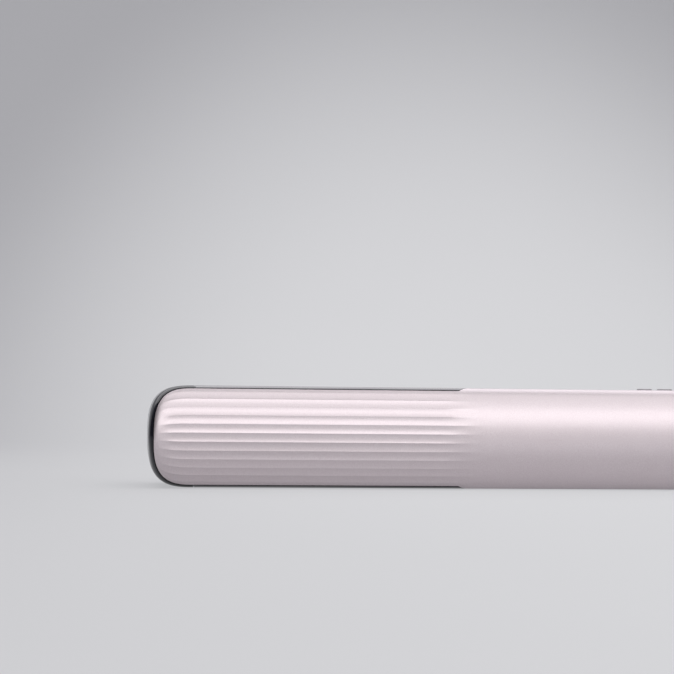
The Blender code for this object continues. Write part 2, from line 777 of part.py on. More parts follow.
def handle_frame(name, teeth):
    """Inner half of the handle: cover plate, webs, hinge barrels, gear teeth and the lock's tab."""
    start = slant(INNER) + CLEARANCE
    end = HINGE_PLACE - PLATE_SETBACK
    half = WALL_INSIDE - CLEARANCE
    frame = block(name, (start, end), (-FACE_BACK, -INNER), (-half, half), PARTS)
    foot = FACE_BACK - FACE_THICKNESS / 2
    web = [
        (end - WEB_LENGTH, -foot),
        (end - CLEARANCE, -foot),
        (HINGE_PLACE + BARREL_RADIUS / 2, -HINGE_OFFSET + BARREL_RADIUS / 2),
        (HINGE_PLACE, -HINGE_OFFSET),
        (HINGE_PLACE - BARREL_RADIUS / 2, -HINGE_OFFSET - BARREL_RADIUS / 2),
    ]
    pin_place = (HINGE_PLACE, -HINGE_OFFSET)
    for side, where in ((1, "upper"), (-1, "lower")):
        near, far = sorted((side * (BARREL_HALF - WEB_THICKNESS), side * BARREL_HALF))
        join(frame, cross_prism(f"{name}_{where}_web", web, near, far, CUTTERS))
        span = (side * (BARREL_HALF - BARREL_LENGTH), side * (BARREL_HALF + GEAR_INSET / 2))
        join(frame, cross_rod(f"{name}_{where}_barrel", BARREL_RADIUS, ROUND_FACETS, span, pin_place, CUTTERS))
    gear_low = -BARREL_HALF + GEAR_INSET
    gear_high = -BARREL_HALF + WEB_THICKNESS - GEAR_INSET
    join(frame, cross_prism(name + "_gear", gear_outline(teeth), gear_low, gear_high, CUTTERS))
    bore_span = (-HALF_WIDTH, HALF_WIDTH)
    cut(frame, cross_rod(name + "_bore", PIN_RADIUS + CLEARANCE, ROUND_FACETS, bore_span, pin_place, CUTTERS))
    tab_end = HINGE_PLACE - LOCK_TAB_SETBACK
    low, high = LOCK_LOW - CLEARANCE, LOCK_LOW + LOCK_HEIGHT + CLEARANCE
    through = (-FACE_BACK - OVERRUN, OVERRUN)
    window = block(name + "_lock_window", (tab_end, tab_end + LOCK_WINDOW_LENGTH), through, (low, high), CUTTERS)
    relief_depth = (LOCK_TAB_THICKNESS - FACE_BACK, OVERRUN)
    tab_span = (tab_end - LOCK_TAB_LENGTH, tab_end + OVERRUN)
    cut(frame, window, block(name + "_tab_relief", tab_span, relief_depth, (low, high), CUTTERS))
    for i, (along, across) in enumerate(handle_screws()):
        center = (along, across)
        hole_radius, sink_radius = SCREW_RADIUS + CLEARANCE, SCREW_HEAD_RADIUS + CLEARANCE
        floor = -INNER - SCREW_HEAD_HEIGHT - 2 * CLEARANCE
        hole = depth_rod(f"{name}_hole_{i}", hole_radius, ROUND_FACETS, through, center, CUTTERS)
        sink_span = (floor, OVERRUN)
        sink = depth_rod(f"{name}_sink_{i}", sink_radius, ROUND_FACETS, sink_span, center, CUTTERS)
        cut(frame, hole, sink)
    return frame


def air_duct():
    """Channel that leads air through the handle into the head."""
    start = slant(INNER) + OVERRUN
    end = HINGE_PLACE + DUCT_OVERHANG
    near = FACE_BACK + CLEARANCE
    duct = block(
        "front_air_duct", (start, end), (-near - DUCT_HEIGHT, -near), (-DUCT_HALF, DUCT_HALF), PARTS
    )
    inside = block(
        "duct_bore",
        (start - OVERRUN, end + OVERRUN),
        (-near - DUCT_HEIGHT + DUCT_WALL, -near - DUCT_WALL),
        (DUCT_WALL - DUCT_HALF, DUCT_HALF - DUCT_WALL),
        CUTTERS,
    )
    return cut(duct, inside)


def heater():
    """Two crossed boards that carry the heating wire inside the duct."""
    start = slant(INNER) + OVERRUN + HEATER_START
    near = FACE_BACK + CLEARANCE + DUCT_WALL + CLEARANCE
    far = FACE_BACK + CLEARANCE + DUCT_HEIGHT - DUCT_WALL - CLEARANCE
    half = DUCT_HALF - DUCT_WALL - CLEARANCE
    middle = (near + far) / 2
    board = HEATER_BOARD / 2
    outline = [
        (-near, board), (-near, -board), (-middle + board, -board), (-middle + board, -half),
        (-middle - board, -half), (-middle - board, -board), (-far, -board), (-far, board),
        (-middle - board, board), (-middle - board, half), (-middle + board, half), (-middle + board, board),
    ]
    return along_prism("front_heater", outline, start, start + HEATER_LENGTH, PARTS)


def thermal_cutout():
    """Round cut-out switch on the duct's outer wall."""
    center = (slant(INNER) + OVERRUN + HEATER_START + HEATER_LENGTH / 2, 0)
    near = FACE_BACK + CLEARANCE + DUCT_HEIGHT + CLEARANCE
    span = (-near - CUTOUT_HEIGHT, -near)
    return depth_rod("front_thermal_cutout", CUTOUT_RADIUS, ROUND_FACETS, span, center, PARTS)


def screw(name):
    """A pan-head screw along Z, its head's top at 0."""
    profile = (
        (0, 0),
        (SCREW_HEAD_RADIUS - SCREW_HEAD_CHAMFER, 0),
        (SCREW_HEAD_RADIUS, -SCREW_HEAD_CHAMFER),
        (SCREW_HEAD_RADIUS, -SCREW_HEAD_HEIGHT),
        (SCREW_RADIUS, -SCREW_HEAD_HEIGHT),
        (SCREW_RADIUS, -SCREW_LENGTH),
        (0, -SCREW_LENGTH),
    )
    return turned(name, profile, SCREW_FACETS, PARTS)


def handle_screw(number, along, across):
    head_top = place(along, -INNER - CLEARANCE, across)
    turn = Matrix.Rotation(-math.pi / 2, 4, "X")
    return settle(screw(f"front_screw_{number}"), Matrix.Translation(head_top) @ turn)


def hinge_pin(name, side):
    reach = BARREL_HALF + CLEARANCE + EAR_THICKNESS
    profile = (
        (0, reach),
        (PIN_RADIUS - PIN_CHAMFER, reach),
        (PIN_RADIUS, reach - PIN_CHAMFER),
        (PIN_RADIUS, PIN_CHAMFER - reach),
        (PIN_RADIUS - PIN_CHAMFER, -reach),
        (0, -reach),
    )
    center = place(HINGE_PLACE, side * HINGE_OFFSET, 0)
    return settle(turned(name, profile, ROUND_FACETS, PARTS), Matrix.Translation(center))


def opening_spring():
    """Torsion spring round the pin: one leg on the base's bulkhead, one against the shell's crown."""
    height = SPRING_PITCH * SPRING_TURNS
    points = [place(BULKHEAD_FRONT - CLEARANCE, -HINGE_OFFSET - SPRING_RADIUS, -height / 2)]
    count = SPRING_TURNS * TURN_POINTS
    for i in range(count + 1):
        angle = -math.pi / 2 + 2 * math.pi * i / TURN_POINTS
        along = HINGE_PLACE - SPRING_RADIUS * math.cos(angle)
        depth = -HINGE_OFFSET + SPRING_RADIUS * math.sin(angle)
        points.append(place(along, depth, height * (i / count - 1 / 2)))
    touch = SHOULDER + CROWN_DEPTH - SHELL_WALL - CLEARANCE - 2 * SPRING_WIRE
    points.append(place(HINGE_PLACE - SPRING_REACH, -touch, height / 2))
    curve = bpy.data.curves.new("front_hinge_spring", "CURVE")
    curve.dimensions = "3D"
    curve.bevel_depth = SPRING_WIRE
    curve.bevel_resolution = 1
    curve.use_fill_caps = True
    spline = curve.splines.new("POLY")
    spline.points.add(len(points) - 1)
    for knot, point in zip(spline.points, points):
        knot.co = (*point, 1)
    draft = bpy.data.objects.new("spring_draft", curve)
    PARTS.objects.link(draft)
    bpy.context.view_layer.update()
    mesh = evaluated_copy(draft)
    bpy.data.objects.remove(draft)
    bm = bmesh.new()
    bm.from_mesh(mesh)
    bmesh.ops.remove_doubles(bm, verts=bm.verts, dist=0.000001)
    return mesh_object("front_hinge_spring", bm, PARTS)


def body_ring(along, inset):
    """The base's section: both arms' crowns joined by straight sides, inset."""
    half, depth = HALF_WIDTH - inset, CROWN_DEPTH - inset
    ring = []
    for side in (-1, 1):
        for step in range(CROWN_STEPS + 1):
            angle = math.pi * (step / CROWN_STEPS - 1 / 2)
            across = -side * half * math.sin(angle)
            ring.append(place(along, side * (SHOULDER + depth * math.cos(angle)), across))
    return ring


def base_housing():
    """Tube of the blower base, with the lock knob's slot and two screw bosses."""
    housing = loft("base_housing", [body_ring(HOUSING_START, 0), body_ring(HOUSING_END, 0)], PARTS)
    rings = [body_ring(s, HOUSING_WALL) for s in (HOUSING_START - OVERRUN, HOUSING_END + OVERRUN)]
    cut(housing, loft("housing_hollow", rings, CUTTERS))
    front, back = knob_stem_span()
    slot_span = (front - LOCK_TRAVEL - CLEARANCE, back + CLEARANCE)
    width = KNOB_STEM_WIDTH / 2 + CLEARANCE
    cut(housing, block("knob_slot", slot_span, (-width, width), (0, FAR), CUTTERS))
    for side in (-1, 1):
        name = "front" if side < 0 else "rear"
        center = (side * BASE_SCREW_OFFSET, 0)
        start, end = INLET_FRONT - CLEARANCE - BASE_BOSS_LENGTH, INLET_FRONT - CLEARANCE
        boss_name = f"housing_{name}_boss"
        join(housing, along_rod(boss_name, BOSS_RADIUS, ROUND_FACETS, (start, end), center, CUTTERS))
        reach = SHOULDER + CROWN_DEPTH - HOUSING_WALL / 2
        rib = (side * BASE_SCREW_OFFSET, side * reach)
        thin = SCREW_RADIUS + CLEARANCE
        span = (start + CLEARANCE, end - CLEARANCE)
        join(housing, block(f"housing_{name}_rib", span, (min(rib), max(rib)), (-thin, thin), CUTTERS))
        bore_span = (start - OVERRUN, end + OVERRUN)
        bore_name = f"housing_{name}_bore"
        cut(housing, along_rod(bore_name, thin, ROUND_FACETS, bore_span, center, CUTTERS))
    return housing


def duct_mouth():
    """Inner limits of the duct's mouth: near depth, far depth, half width."""
    near = FACE_BACK + CLEARANCE + DUCT_WALL
    far = FACE_BACK + CLEARANCE + DUCT_HEIGHT - DUCT_WALL
    return near, far, DUCT_HALF - DUCT_WALL


def hinge_frame():
    """Bulkhead behind the arms: ears for the pins, spigots into the ducts, a notch for the lock."""
    inset = HOUSING_WALL + CLEARANCE
    frame = loft(
        "hinge_frame", [body_ring(BULKHEAD_FRONT, inset), body_ring(BULKHEAD_BACK, inset)], PARTS
    )
    near, far, half = duct_mouth()
    start = HINGE_PLACE + DUCT_OVERHANG - SPIGOT_INSERT
    low, high = near + SPIGOT_CLEARANCE, far - SPIGOT_CLEARANCE
    wide = half - SPIGOT_CLEARANCE
    bores = []
    for side in (-1, 1):
        limits = sorted((side * low, side * high))
        where = "front" if side < 0 else "rear"
        span = (start, BULKHEAD_FRONT + BULKHEAD_THICKNESS / 2)
        join(frame, block(f"{where}_spigot", span, limits, (-wide, wide), CUTTERS))
        inner = (limits[0] + SPIGOT_WALL, limits[1] - SPIGOT_WALL)
        through = (start - OVERRUN, BULKHEAD_BACK + OVERRUN)
        reach = wide - SPIGOT_WALL
        bores.append(block(f"{where}_spigot_bore", through, inner, (-reach, reach), CUTTERS))
        outline = [(BULKHEAD_FRONT + BULKHEAD_THICKNESS / 2, side * (HINGE_OFFSET + EAR_RADIUS))]
        for step in range(ROUND_FACETS // 2 + 1):
            angle = math.pi / 2 + math.pi * step / (ROUND_FACETS // 2)
            outline.append(
                (
                    HINGE_PLACE + EAR_RADIUS * math.cos(angle),
                    side * (HINGE_OFFSET + EAR_RADIUS * math.sin(angle)),
                )
            )
        outline.append((BULKHEAD_FRONT + BULKHEAD_THICKNESS / 2, side * (HINGE_OFFSET - EAR_RADIUS)))
        inside = BARREL_HALF + CLEARANCE
        for level, (floor, roof) in (
            ("upper", (inside, inside + EAR_THICKNESS)),
            ("lower", (-inside - EAR_THICKNESS, -inside)),
        ):
            join(frame, cross_prism(f"{where}_{level}_ear", outline, floor, roof, CUTTERS))
        hole_radius = PIN_RADIUS + CLEARANCE
        center = (HINGE_PLACE, side * HINGE_OFFSET)
        hole_span = (-HALF_WIDTH, HALF_WIDTH)
        bores.append(cross_rod(f"{where}_ear_bore", hole_radius, ROUND_FACETS, hole_span, center, CUTTERS))
    notch = LOCK_HALF + CLEARANCE
    span = (BULKHEAD_FRONT - OVERRUN, BULKHEAD_BACK + OVERRUN)
    bores.append(block("lock_notch", span, (-notch, notch), (LOCK_LOW - CLEARANCE, FAR), CUTTERS))
    return cut(frame, helper_group("hinge_frame_bores", bores))


def fan():
    """Impeller: hub, back disc and swept blades."""
    middle = (0, 0)
    disc = along_rod("fan_impeller", FAN_RADIUS, FINE_FACETS, (FAN_END - FAN_DISC, FAN_END), middle, PARTS)
    hub_span = (FAN_START, FAN_END - FAN_DISC / 2)
    join(disc, along_rod("fan_hub", FAN_HUB_RADIUS, ROUND_FACETS, hub_span, middle, CUTTERS))
    blades = []
    steps = 3
    for blade in range(FAN_BLADES):
        turn = 2 * math.pi * blade / FAN_BLADES
        near_edge, far_edge = [], []
        for step in range(steps + 1):
            reach = FAN_RADIUS - FAN_HUB_RADIUS
            radius = FAN_HUB_RADIUS - FAN_BLADE_INSET + reach * step / steps
            angle = turn + math.radians(FAN_SWEEP) * step / steps
            half = FAN_BLADE_THICKNESS / 2 / radius
            near_edge.append((radius * math.cos(angle - half), radius * math.sin(angle - half)))
            far_edge.append((radius * math.cos(angle + half), radius * math.sin(angle + half)))
        outline = near_edge + far_edge[::-1]
        start = FAN_START + FAN_DISC / 2
        blades.append(along_prism("blade", outline, start, FAN_END - FAN_DISC / 2, CUTTERS))
    join(disc, helper_group("fan_blades", blades))
    bore_span = (FAN_START - OVERRUN, FAN_END + OVERRUN)
    return cut(disc, along_rod("fan_bore", SHAFT_RADIUS + CLEARANCE, ROUND_FACETS, bore_span, middle, CUTTERS))


def motor():
    """Can of the blower motor with its shaft."""
    can = along_rod("blower_motor", MOTOR_RADIUS, FINE_FACETS, (MOTOR_START, MOTOR_END), (0, 0), PARTS)
    shaft_span = (FAN_START, MOTOR_START + OVERRUN)
    return join(can, along_rod("motor_shaft", SHAFT_RADIUS, ROUND_FACETS, shaft_span, (0, 0), CUTTERS))


def motor_mount():
    """Rubber bulkhead that holds the motor in the housing."""
    inset = HOUSING_WALL + CLEARANCE
    start = MOTOR_START + MOUNT_SETBACK - OVERRUN
    rings = [body_ring(start, inset), body_ring(start + MOUNT_THICKNESS, inset)]
    mount = loft("motor_mount", rings, PARTS)
    bore_span = (start - OVERRUN, start + MOUNT_THICKNESS + OVERRUN)
    return cut(mount, along_rod("mount_bore", MOTOR_RADIUS + CLEARANCE, FINE_FACETS, bore_span, (0, 0), CUTTERS))


def main_board():
    """Power board standing between the bulkhead and the motor mount."""
    end = MOTOR_START + MOUNT_SETBACK - OVERRUN - CLEARANCE
    span = (BULKHEAD_BACK + CLEARANCE, end)
    near = SHOULDER + MAIN_BOARD_RISE
    depth = (near, near + BOARD_THICKNESS)
    return block("main_board", span, depth, (-MAIN_BOARD_HALF, MAIN_BOARD_HALF), PARTS)


def inlet_frame():
    """Plate behind the motor with air holes and the tube that holds the cable gland."""
    inset = HOUSING_WALL + CLEARANCE
    frame = loft("inlet_frame", [body_ring(INLET_FRONT, inset), body_ring(INLET_BACK, inset)], PARTS)
    end = INLET_BACK + TUBE_LENGTH
    tube_span = (INLET_BACK - INLET_THICKNESS / 2, end)
    join(frame, along_rod("gland_tube", TUBE_RADIUS, ROUND_FACETS, tube_span, (0, 0), CUTTERS))
    through = (INLET_FRONT - OVERRUN, end + OVERRUN)
    holes = [along_rod("tube_bore", TUBE_RADIUS - TUBE_WALL, ROUND_FACETS, through, (0, 0), CUTTERS)]
    for i in range(INLET_HOLES):
        angle = 2 * math.pi * (i + 1 / 2) / INLET_HOLES
        center = (INLET_HOLE_RING * math.cos(angle), INLET_HOLE_RING * math.sin(angle))
        holes.append(along_rod("air_hole", INLET_HOLE_RADIUS, SCREW_FACETS, through, center, CUTTERS))
    for side in (-1, 1):
        center = (side * BASE_SCREW_OFFSET, 0)
        holes.append(along_rod("screw_hole", SCREW_RADIUS + CLEARANCE, ROUND_FACETS, through, center, CUTTERS))
    return cut(frame, helper_group("inlet_holes", holes))


def base_screw(name, side):
    head_top = place(INLET_BACK + CLEARANCE + SCREW_HEAD_HEIGHT, side * BASE_SCREW_OFFSET, 0)
    turn = Matrix.Rotation(math.pi / 2, 4, "Y")
    return settle(screw(name), Matrix.Translation(head_top) @ turn)


def cable_gland():
    """Rubber bush that the cord would pass through."""
    outer = TUBE_RADIUS - TUBE_WALL - CLEARANCE
    end = INLET_BACK + TUBE_LENGTH + CLEARANCE
    start = end - GLAND_LENGTH
    flange_span = (end, end + GLAND_FLANGE)
    gland = along_rod("cable_gland", outer, ROUND_FACETS, (start, end + GLAND_FLANGE / 2), (0, 0), PARTS)
    join(gland, along_rod("gland_flange", TUBE_RADIUS, ROUND_FACETS, flange_span, (0, 0), CUTTERS))
    through = (start - OVERRUN, end + GLAND_FLANGE + OVERRUN)
    return cut(gland, along_rod("gland_bore", GLAND_BORE, ROUND_FACETS, through, (0, 0), CUTTERS))


def fine_filter():
    """Sleeve of fine mesh under the cage."""
    start = INLET_BACK + CLEARANCE
    end = start + FILTER_LENGTH
    sleeve = loft("fine_filter", [body_ring(start, FILTER_INSET), body_ring(end, FILTER_INSET)], PARTS)
    inset = FILTER_INSET + FILTER_WALL
    rings = [body_ring(start - OVERRUN, inset), body_ring(end + OVERRUN, inset)]
    return cut(sleeve, loft("filter_hollow", rings, CUTTERS))


def cage_rings(inset, start, end):
    """Sections of the cage, rounding over towards its end."""
    rings = [body_ring(start, inset)]
    steps = 4
    for step in range(steps + 1):
        angle = math.pi / 2 * step / steps
        along = end - CAGE_ROUND * (1 - math.sin(angle))
        rings.append(body_ring(along, inset + CAGE_ROUND_INSET * (1 - math.cos(angle))))
    return rings


def filter_cage():
    """Slotted cage that pulls off the base's end."""
    cage = loft("filter_cage", cage_rings(0, CAGE_START, OVERALL_LENGTH), PARTS)
    hollow = cage_rings(CAGE_WALL, CAGE_START - OVERRUN, OVERALL_LENGTH - CAGE_WALL)
    cut(cage, loft("cage_hollow", hollow, CUTTERS))
    hole_span = (OVERALL_LENGTH - CAGE_WALL - OVERRUN, OVERALL_LENGTH + OVERRUN)
    cut(cage, along_rod("cage_hole", CAGE_HOLE_RADIUS, FINE_FACETS, hole_span, (0, 0), CUTTERS))
    return cut(cage, helper_group("cage_slots", cage_slot_cutters()))


def cage_slot_cutters():
    """Blocks for the slots, at even steps round the cage's section."""
    outline = [Vector((point.y, point.z - HALF_WIDTH)) for point in body_ring(0, CAGE_WALL / 2)]
    edges = list(zip(outline, outline[1:] + outline[:1]))
    total = sum((b - a).length for a, b in edges)
    start = CAGE_START + CAGE_SLOT_SETBACK
    cutters = []
    for i in range(CAGE_SLOTS):
        reach = total * (i + 1 / 2) / CAGE_SLOTS
        for a, b in edges:
            length = (b - a).length
            if reach <= length:
                break
            reach -= length
        along_edge = (b - a).normalized()
        outward = Vector((along_edge.y, -along_edge.x))
        center = a + along_edge * reach
        corners = [
            center + along_edge * (CAGE_SLOT_WIDTH / 2 * u) + outward * (CAGE_WALL * v)
            for u, v in ((-1, -1), (1, -1), (1, 1), (-1, 1))
        ]
        slot = [(corner.x, corner.y) for corner in corners]
        cutters.append(along_prism("slot", slot, start, start + CAGE_SLOT_LENGTH, CUTTERS))
    return cutters


def lock_blade():
    """Blade that slides between the arms and catches both handle frames' tabs."""
    tab_end = HINGE_PLACE - LOCK_TAB_SETBACK
    head_start = tab_end + LOCK_TAB_LENGTH - LOCK_FINGER / 2
    rise = BULKHEAD_BACK + LOCK_RISE_START
    low_end = FAN_START - 2 * CLEARANCE
    low, high = LOCK_LOW, LOCK_LOW + LOCK_HEIGHT
    top = high + LOCK_RISE_HEIGHT
    outline = [
        (head_start, low),
        (low_end, low),
        (low_end, high),
        (rise + LOCK_TAIL, high),
        (rise + LOCK_TAIL, top),
        (rise, top),
        (rise, high),
        (head_start, high),
    ]
    blade = depth_prism("lock_blade", outline, -LOCK_HALF, LOCK_HALF, PARTS)
    inset = LOCK_FINGER / 2
    web = (head_start - CLEARANCE, head_start + LOCK_WEB)
    head_low, head_high = low + inset, high - inset
    join(blade, block("lock_web", web, (-LOCK_HEAD_HALF, LOCK_HEAD_HALF), (head_low, head_high), CUTTERS))
    for side in (-1, 1):
        where = "front" if side < 0 else "rear"
        finger = (side * (LOCK_HEAD_HALF - LOCK_FINGER), side * (LOCK_HEAD_HALF - LOCK_FINGER_INSET))
        span = (tab_end + CLEARANCE, head_start + CLEARANCE)
        levels = (head_low + CLEARANCE, head_high - CLEARANCE)
        join(blade, block(f"lock_{where}_finger", span, finger, levels, CUTTERS))
    return blade


def knob_stem_span():
    """Where the knob's stem lies along the body."""
    middle = HOUSING_START + KNOB_SETBACK + KNOB_LENGTH / 2
    return middle - KNOB_STEM_LENGTH / 2, middle + KNOB_STEM_LENGTH / 2


def lock_knob():
    """Ridged thumb slide over the housing's slot."""
    start = HOUSING_START + KNOB_SETBACK
    bottom = HALF_WIDTH + CLEARANCE
    outline = rounded_box((start + KNOB_LENGTH / 2, 0), KNOB_LENGTH, KNOB_WIDTH, KNOB_HEIGHT)
    knob = cross_prism("lock_knob", outline, bottom, bottom + KNOB_HEIGHT, PARTS)
    stem_low = LOCK_LOW + LOCK_HEIGHT + LOCK_RISE_HEIGHT + CLEARANCE
    half = KNOB_STEM_WIDTH / 2
    stem = block("knob_stem", knob_stem_span(), (-half, half), (stem_low, bottom + KNOB_HEIGHT / 2), CUTTERS)
    join(knob, stem)
    ridges = []
    pitch = KNOB_LENGTH / (KNOB_RIDGES + 1)
    top = bottom + KNOB_HEIGHT
    reach = KNOB_WIDTH / 2 - KNOB_HEIGHT
    for i in range(KNOB_RIDGES):
        middle = start + pitch * (i + 1)
        span = (middle - KNOB_RIDGE_WIDTH / 2, middle + KNOB_RIDGE_WIDTH / 2)
        levels = (top - KNOB_HEIGHT / 2, top + KNOB_RIDGE_HEIGHT)
        ridges.append(block("ridge", span, (-reach, reach), levels, CUTTERS))
    return join(knob, helper_group("knob_ridges", ridges))


def control_places():
    """The display's middle, and each button's name, middle and radius."""
    edge = CONTROL_START + DISPLAY_LENGTH
    buttons = []
    for name, radius in BUTTON_RADII.items():
        middle = edge + BUTTON_GAP + radius
        buttons.append((name, middle, radius))
        edge = middle + radius
    return CONTROL_START + DISPLAY_LENGTH / 2, buttons


def control_openings(shell):
    """Cuts the display's window and the buttons' holes into the front shell."""
    display, buttons = control_places()
    span = (WALL_INSIDE - OVERRUN, HALF_WIDTH + OVERRUN)
    outline = rounded_box(
        (display, -CONTROL_DEPTH), DISPLAY_LENGTH + 2 * CLEARANCE, DISPLAY_WIDTH + 2 * CLEARANCE, CONTROL_CORNER
    )
    openings = [cross_prism("display_window", outline, *span, CUTTERS)]
    for name, middle, radius in buttons:
        center = (middle, -CONTROL_DEPTH)
        openings.append(cross_rod(name + "_hole", radius + CLEARANCE, ROUND_FACETS, span, center, CUTTERS))
    return cut(shell, helper_group("control_openings", openings))


def display_lens():
    display, _ = control_places()
    center = (display, -CONTROL_DEPTH)
    under = WALL_INSIDE - CLEARANCE
    lens = cross_prism(
        "display_lens", rounded_box(center, DISPLAY_LENGTH, DISPLAY_WIDTH, CONTROL_CORNER),
        under - CLEARANCE, HALF_WIDTH, PARTS,
    )
    wide = 2 * DISPLAY_FLANGE
    flange = rounded_box(center, DISPLAY_LENGTH + wide, DISPLAY_WIDTH + wide, CONTROL_CORNER)
    return join(lens, cross_prism("lens_flange", flange, under - BUTTON_FLANGE_THICKNESS, under, CUTTERS))


def button(name, middle, radius):
    """Round push button with the flange that keeps it in the shell."""
    under = WALL_INSIDE - CLEARANCE
    top = HALF_WIDTH + BUTTON_PROUD
    profile = (
        (0, top),
        (radius - BUTTON_PROUD, top),
        (radius, top - BUTTON_PROUD),
        (radius, under),
        (radius + BUTTON_FLANGE, under),
        (radius + BUTTON_FLANGE, under - BUTTON_FLANGE_THICKNESS),
        (0, under - BUTTON_FLANGE_THICKNESS),
    )
    made = turned(name, profile, ROUND_FACETS, PARTS)
    return settle(made, Matrix.Translation(place(middle, -CONTROL_DEPTH, 0)))


def control_board():
    """Board under the controls, with a switch below each button."""
    switch_top = WALL_INSIDE - CLEARANCE - BUTTON_FLANGE_THICKNESS - BUTTON_TRAVEL - SWITCH_GAP
    top = switch_top - SWITCH_HEIGHT
    start = CONTROL_START - DISPLAY_FLANGE
    near = FACE_BACK + CLEARANCE
    board = block(
        "control_board",
        (start, CONTROL_START + CONTROL_LENGTH + BOARD_MARGIN),
        (BOARD_INSET - SHOULDER, -near),
        (top - BOARD_THICKNESS, top),
        PARTS,
    )
    switches = []
    _, buttons = control_places()
    half = SWITCH_SIZE / 2
    for name, middle, _ in buttons:
        span = (middle - half, middle + half)
        depth = (-CONTROL_DEPTH - half, half - CONTROL_DEPTH)
        levels = (top - BOARD_THICKNESS / 2, switch_top)
        switches.append(block("switch", span, depth, levels, CUTTERS))
    return join(board, helper_group("board_switches", switches))


def pivot(name, position, parent=None):
    """Empty at a body's joint axis."""
    empty = bpy.data.objects.new(name, None)
    PARTS.objects.link(empty)
    empty.location = position
    bpy.context.view_layer.update()
    if parent:
        empty.parent = parent
        empty.matrix_parent_inverse = parent.matrix_world.inverted()
    bpy.context.view_layer.update()
    return empty


def build_front_arm(arm):
    """The front arm's pieces, and copies of the shared ones for the rear arm."""
    shared = {
        "tip_cap": finish(tip_cap(), BLACK_GLOSS, arm),
        "side_frame": finish(side_frame(), DARK_GLOSS, arm),
        "nozzle": finish(nozzle(), DARK_MATTE, arm),
        "upper_bar": finish(tension_bar("front_upper_bar", 1), ALUMINIUM, arm),
        "lower_bar": finish(tension_bar("front_lower_bar", -1), ALUMINIUM, arm),
        "air_duct": finish(air_duct(), DARK_MATTE, arm),
        "heater": finish(heater(), CERAMIC, arm),
        "thermal_cutout": finish(thermal_cutout(), STEEL, arm),
    }
    for number, (along, across) in enumerate(handle_screws(), 1):
        shared[f"screw_{number}"] = finish(handle_screw(number, along, across), STEEL, arm)
    shell = finish(arm_shell(), PEARL_PAINT, arm)
    shared["shell"] = shell
    return shared


def build():
    root = pivot("straightener", (0, 0, 0))
    front_arm = pivot("front_arm", place(HINGE_PLACE, -HINGE_OFFSET, 0), root)
    rear_arm = pivot("rear_arm", place(HINGE_PLACE, HINGE_OFFSET, 0), root)
    shared = build_front_arm(front_arm)
    for name, source in shared.items():
        finish(mirrored(source, "rear_" + name), source.data.materials[0], rear_arm)
    control_openings(shared["shell"])
    finish(handle_frame("front_handle_frame", FRONT_TEETH), DARK_MATTE, front_arm)
    rear_draft = handle_frame("rear_draft", REAR_TEETH)
    finish(mirrored(rear_draft, "rear_handle_frame"), DARK_MATTE, rear_arm)
    bpy.data.objects.remove(rear_draft)
    finish(display_lens(), BLACK_GLOSS, front_arm)
    finish(control_board(), BOARD_GREEN, front_arm)
    _, buttons = control_places()
    for name, middle, radius in buttons:
        button_pivot = pivot(name + "_axis", place(middle, -CONTROL_DEPTH, HALF_WIDTH), front_arm)
        finish(button(name, middle, radius), BUTTON_GREY, button_pivot)
    finish(hinge_pin("front_hinge_pin", -1), STEEL, root)
    finish(hinge_pin("rear_hinge_pin", 1), STEEL, root)
    spring = finish(opening_spring(), STEEL, root)
    finish(mirrored(spring, "rear_hinge_spring"), STEEL, root)
    finish(base_housing(), PEARL_PAINT, root)
    finish(hinge_frame(), DARK_MATTE, root)
    fan_pivot = pivot("fan_axis", place(FAN_START, 0, 0), root)
    finish(fan(), DARK_MATTE, fan_pivot)
    finish(motor(), STEEL, root)
    finish(motor_mount(), RUBBER, root)
    finish(main_board(), BOARD_GREEN, root)
    finish(inlet_frame(), DARK_MATTE, root)
    finish(base_screw("front_base_screw", -1), STEEL, root)
    finish(base_screw("rear_base_screw", 1), STEEL, root)
    finish(cable_gland(), RUBBER, root)
    finish(fine_filter(), FILTER_MESH, root)
    cage_pivot = pivot("filter_cage_axis", place(CAGE_START, 0, 0), root)
    finish(filter_cage(), CAGE_METAL, cage_pivot)
    lock_pivot = pivot("arm_lock_axis", place(BULKHEAD_FRONT, 0, LOCK_LOW), root)
    finish(lock_blade(), STEEL, lock_pivot)
    finish(lock_knob(), BUTTON_GREY, lock_pivot)


for old in list(bpy.data.objects):
    bpy.data.objects.remove(old)

PARTS = new_collection("hot_air_straightener")
CUTTERS = new_collection("cutters")

PEARL_PAINT = paint("pearl_paint", (0.78, 0.71, 0.74), 0.32, 0.35)
BLACK_GLOSS = paint("black_gloss", (0.012, 0.012, 0.018), 0.08)
DARK_GLOSS = paint("dark_gloss", (0.03, 0.028, 0.036), 0.12)
DARK_MATTE = paint("dark_matte", (0.05, 0.05, 0.055), 0.5)
ALUMINIUM = paint("aluminium", (0.72, 0.70, 0.71), 0.25, 1.0)
STEEL = paint("steel", (0.6, 0.6, 0.62), 0.3, 1.0)
CERAMIC = paint("ceramic", (0.75, 0.72, 0.65), 0.7)
BOARD_GREEN = paint("board_green", (0.03, 0.18, 0.08), 0.5)
BUTTON_GREY = paint("button_grey", (0.42, 0.40, 0.43), 0.4)
RUBBER = paint("rubber", (0.02, 0.02, 0.02), 0.8)
FILTER_MESH = paint("filter_mesh", (0.35, 0.35, 0.37), 0.4, 1.0)
CAGE_METAL = paint("cage_metal", (0.62, 0.56, 0.58), 0.3, 0.8)

build()
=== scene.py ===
"""Looks of the hot air straightener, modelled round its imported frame.

X runs along the body from the tips to the base, Y through the two arms, Z across their width.
A place is given as its distance from the tips, its depth along Y from the plane between the arms,
and its height above or below the middle of the width. The front arm is modelled, the rear one is
its mirror image. Lengths are in metres.
"""

import json
import math

import bmesh
import bpy
import numpy as np
from mathutils import Matrix, Vector

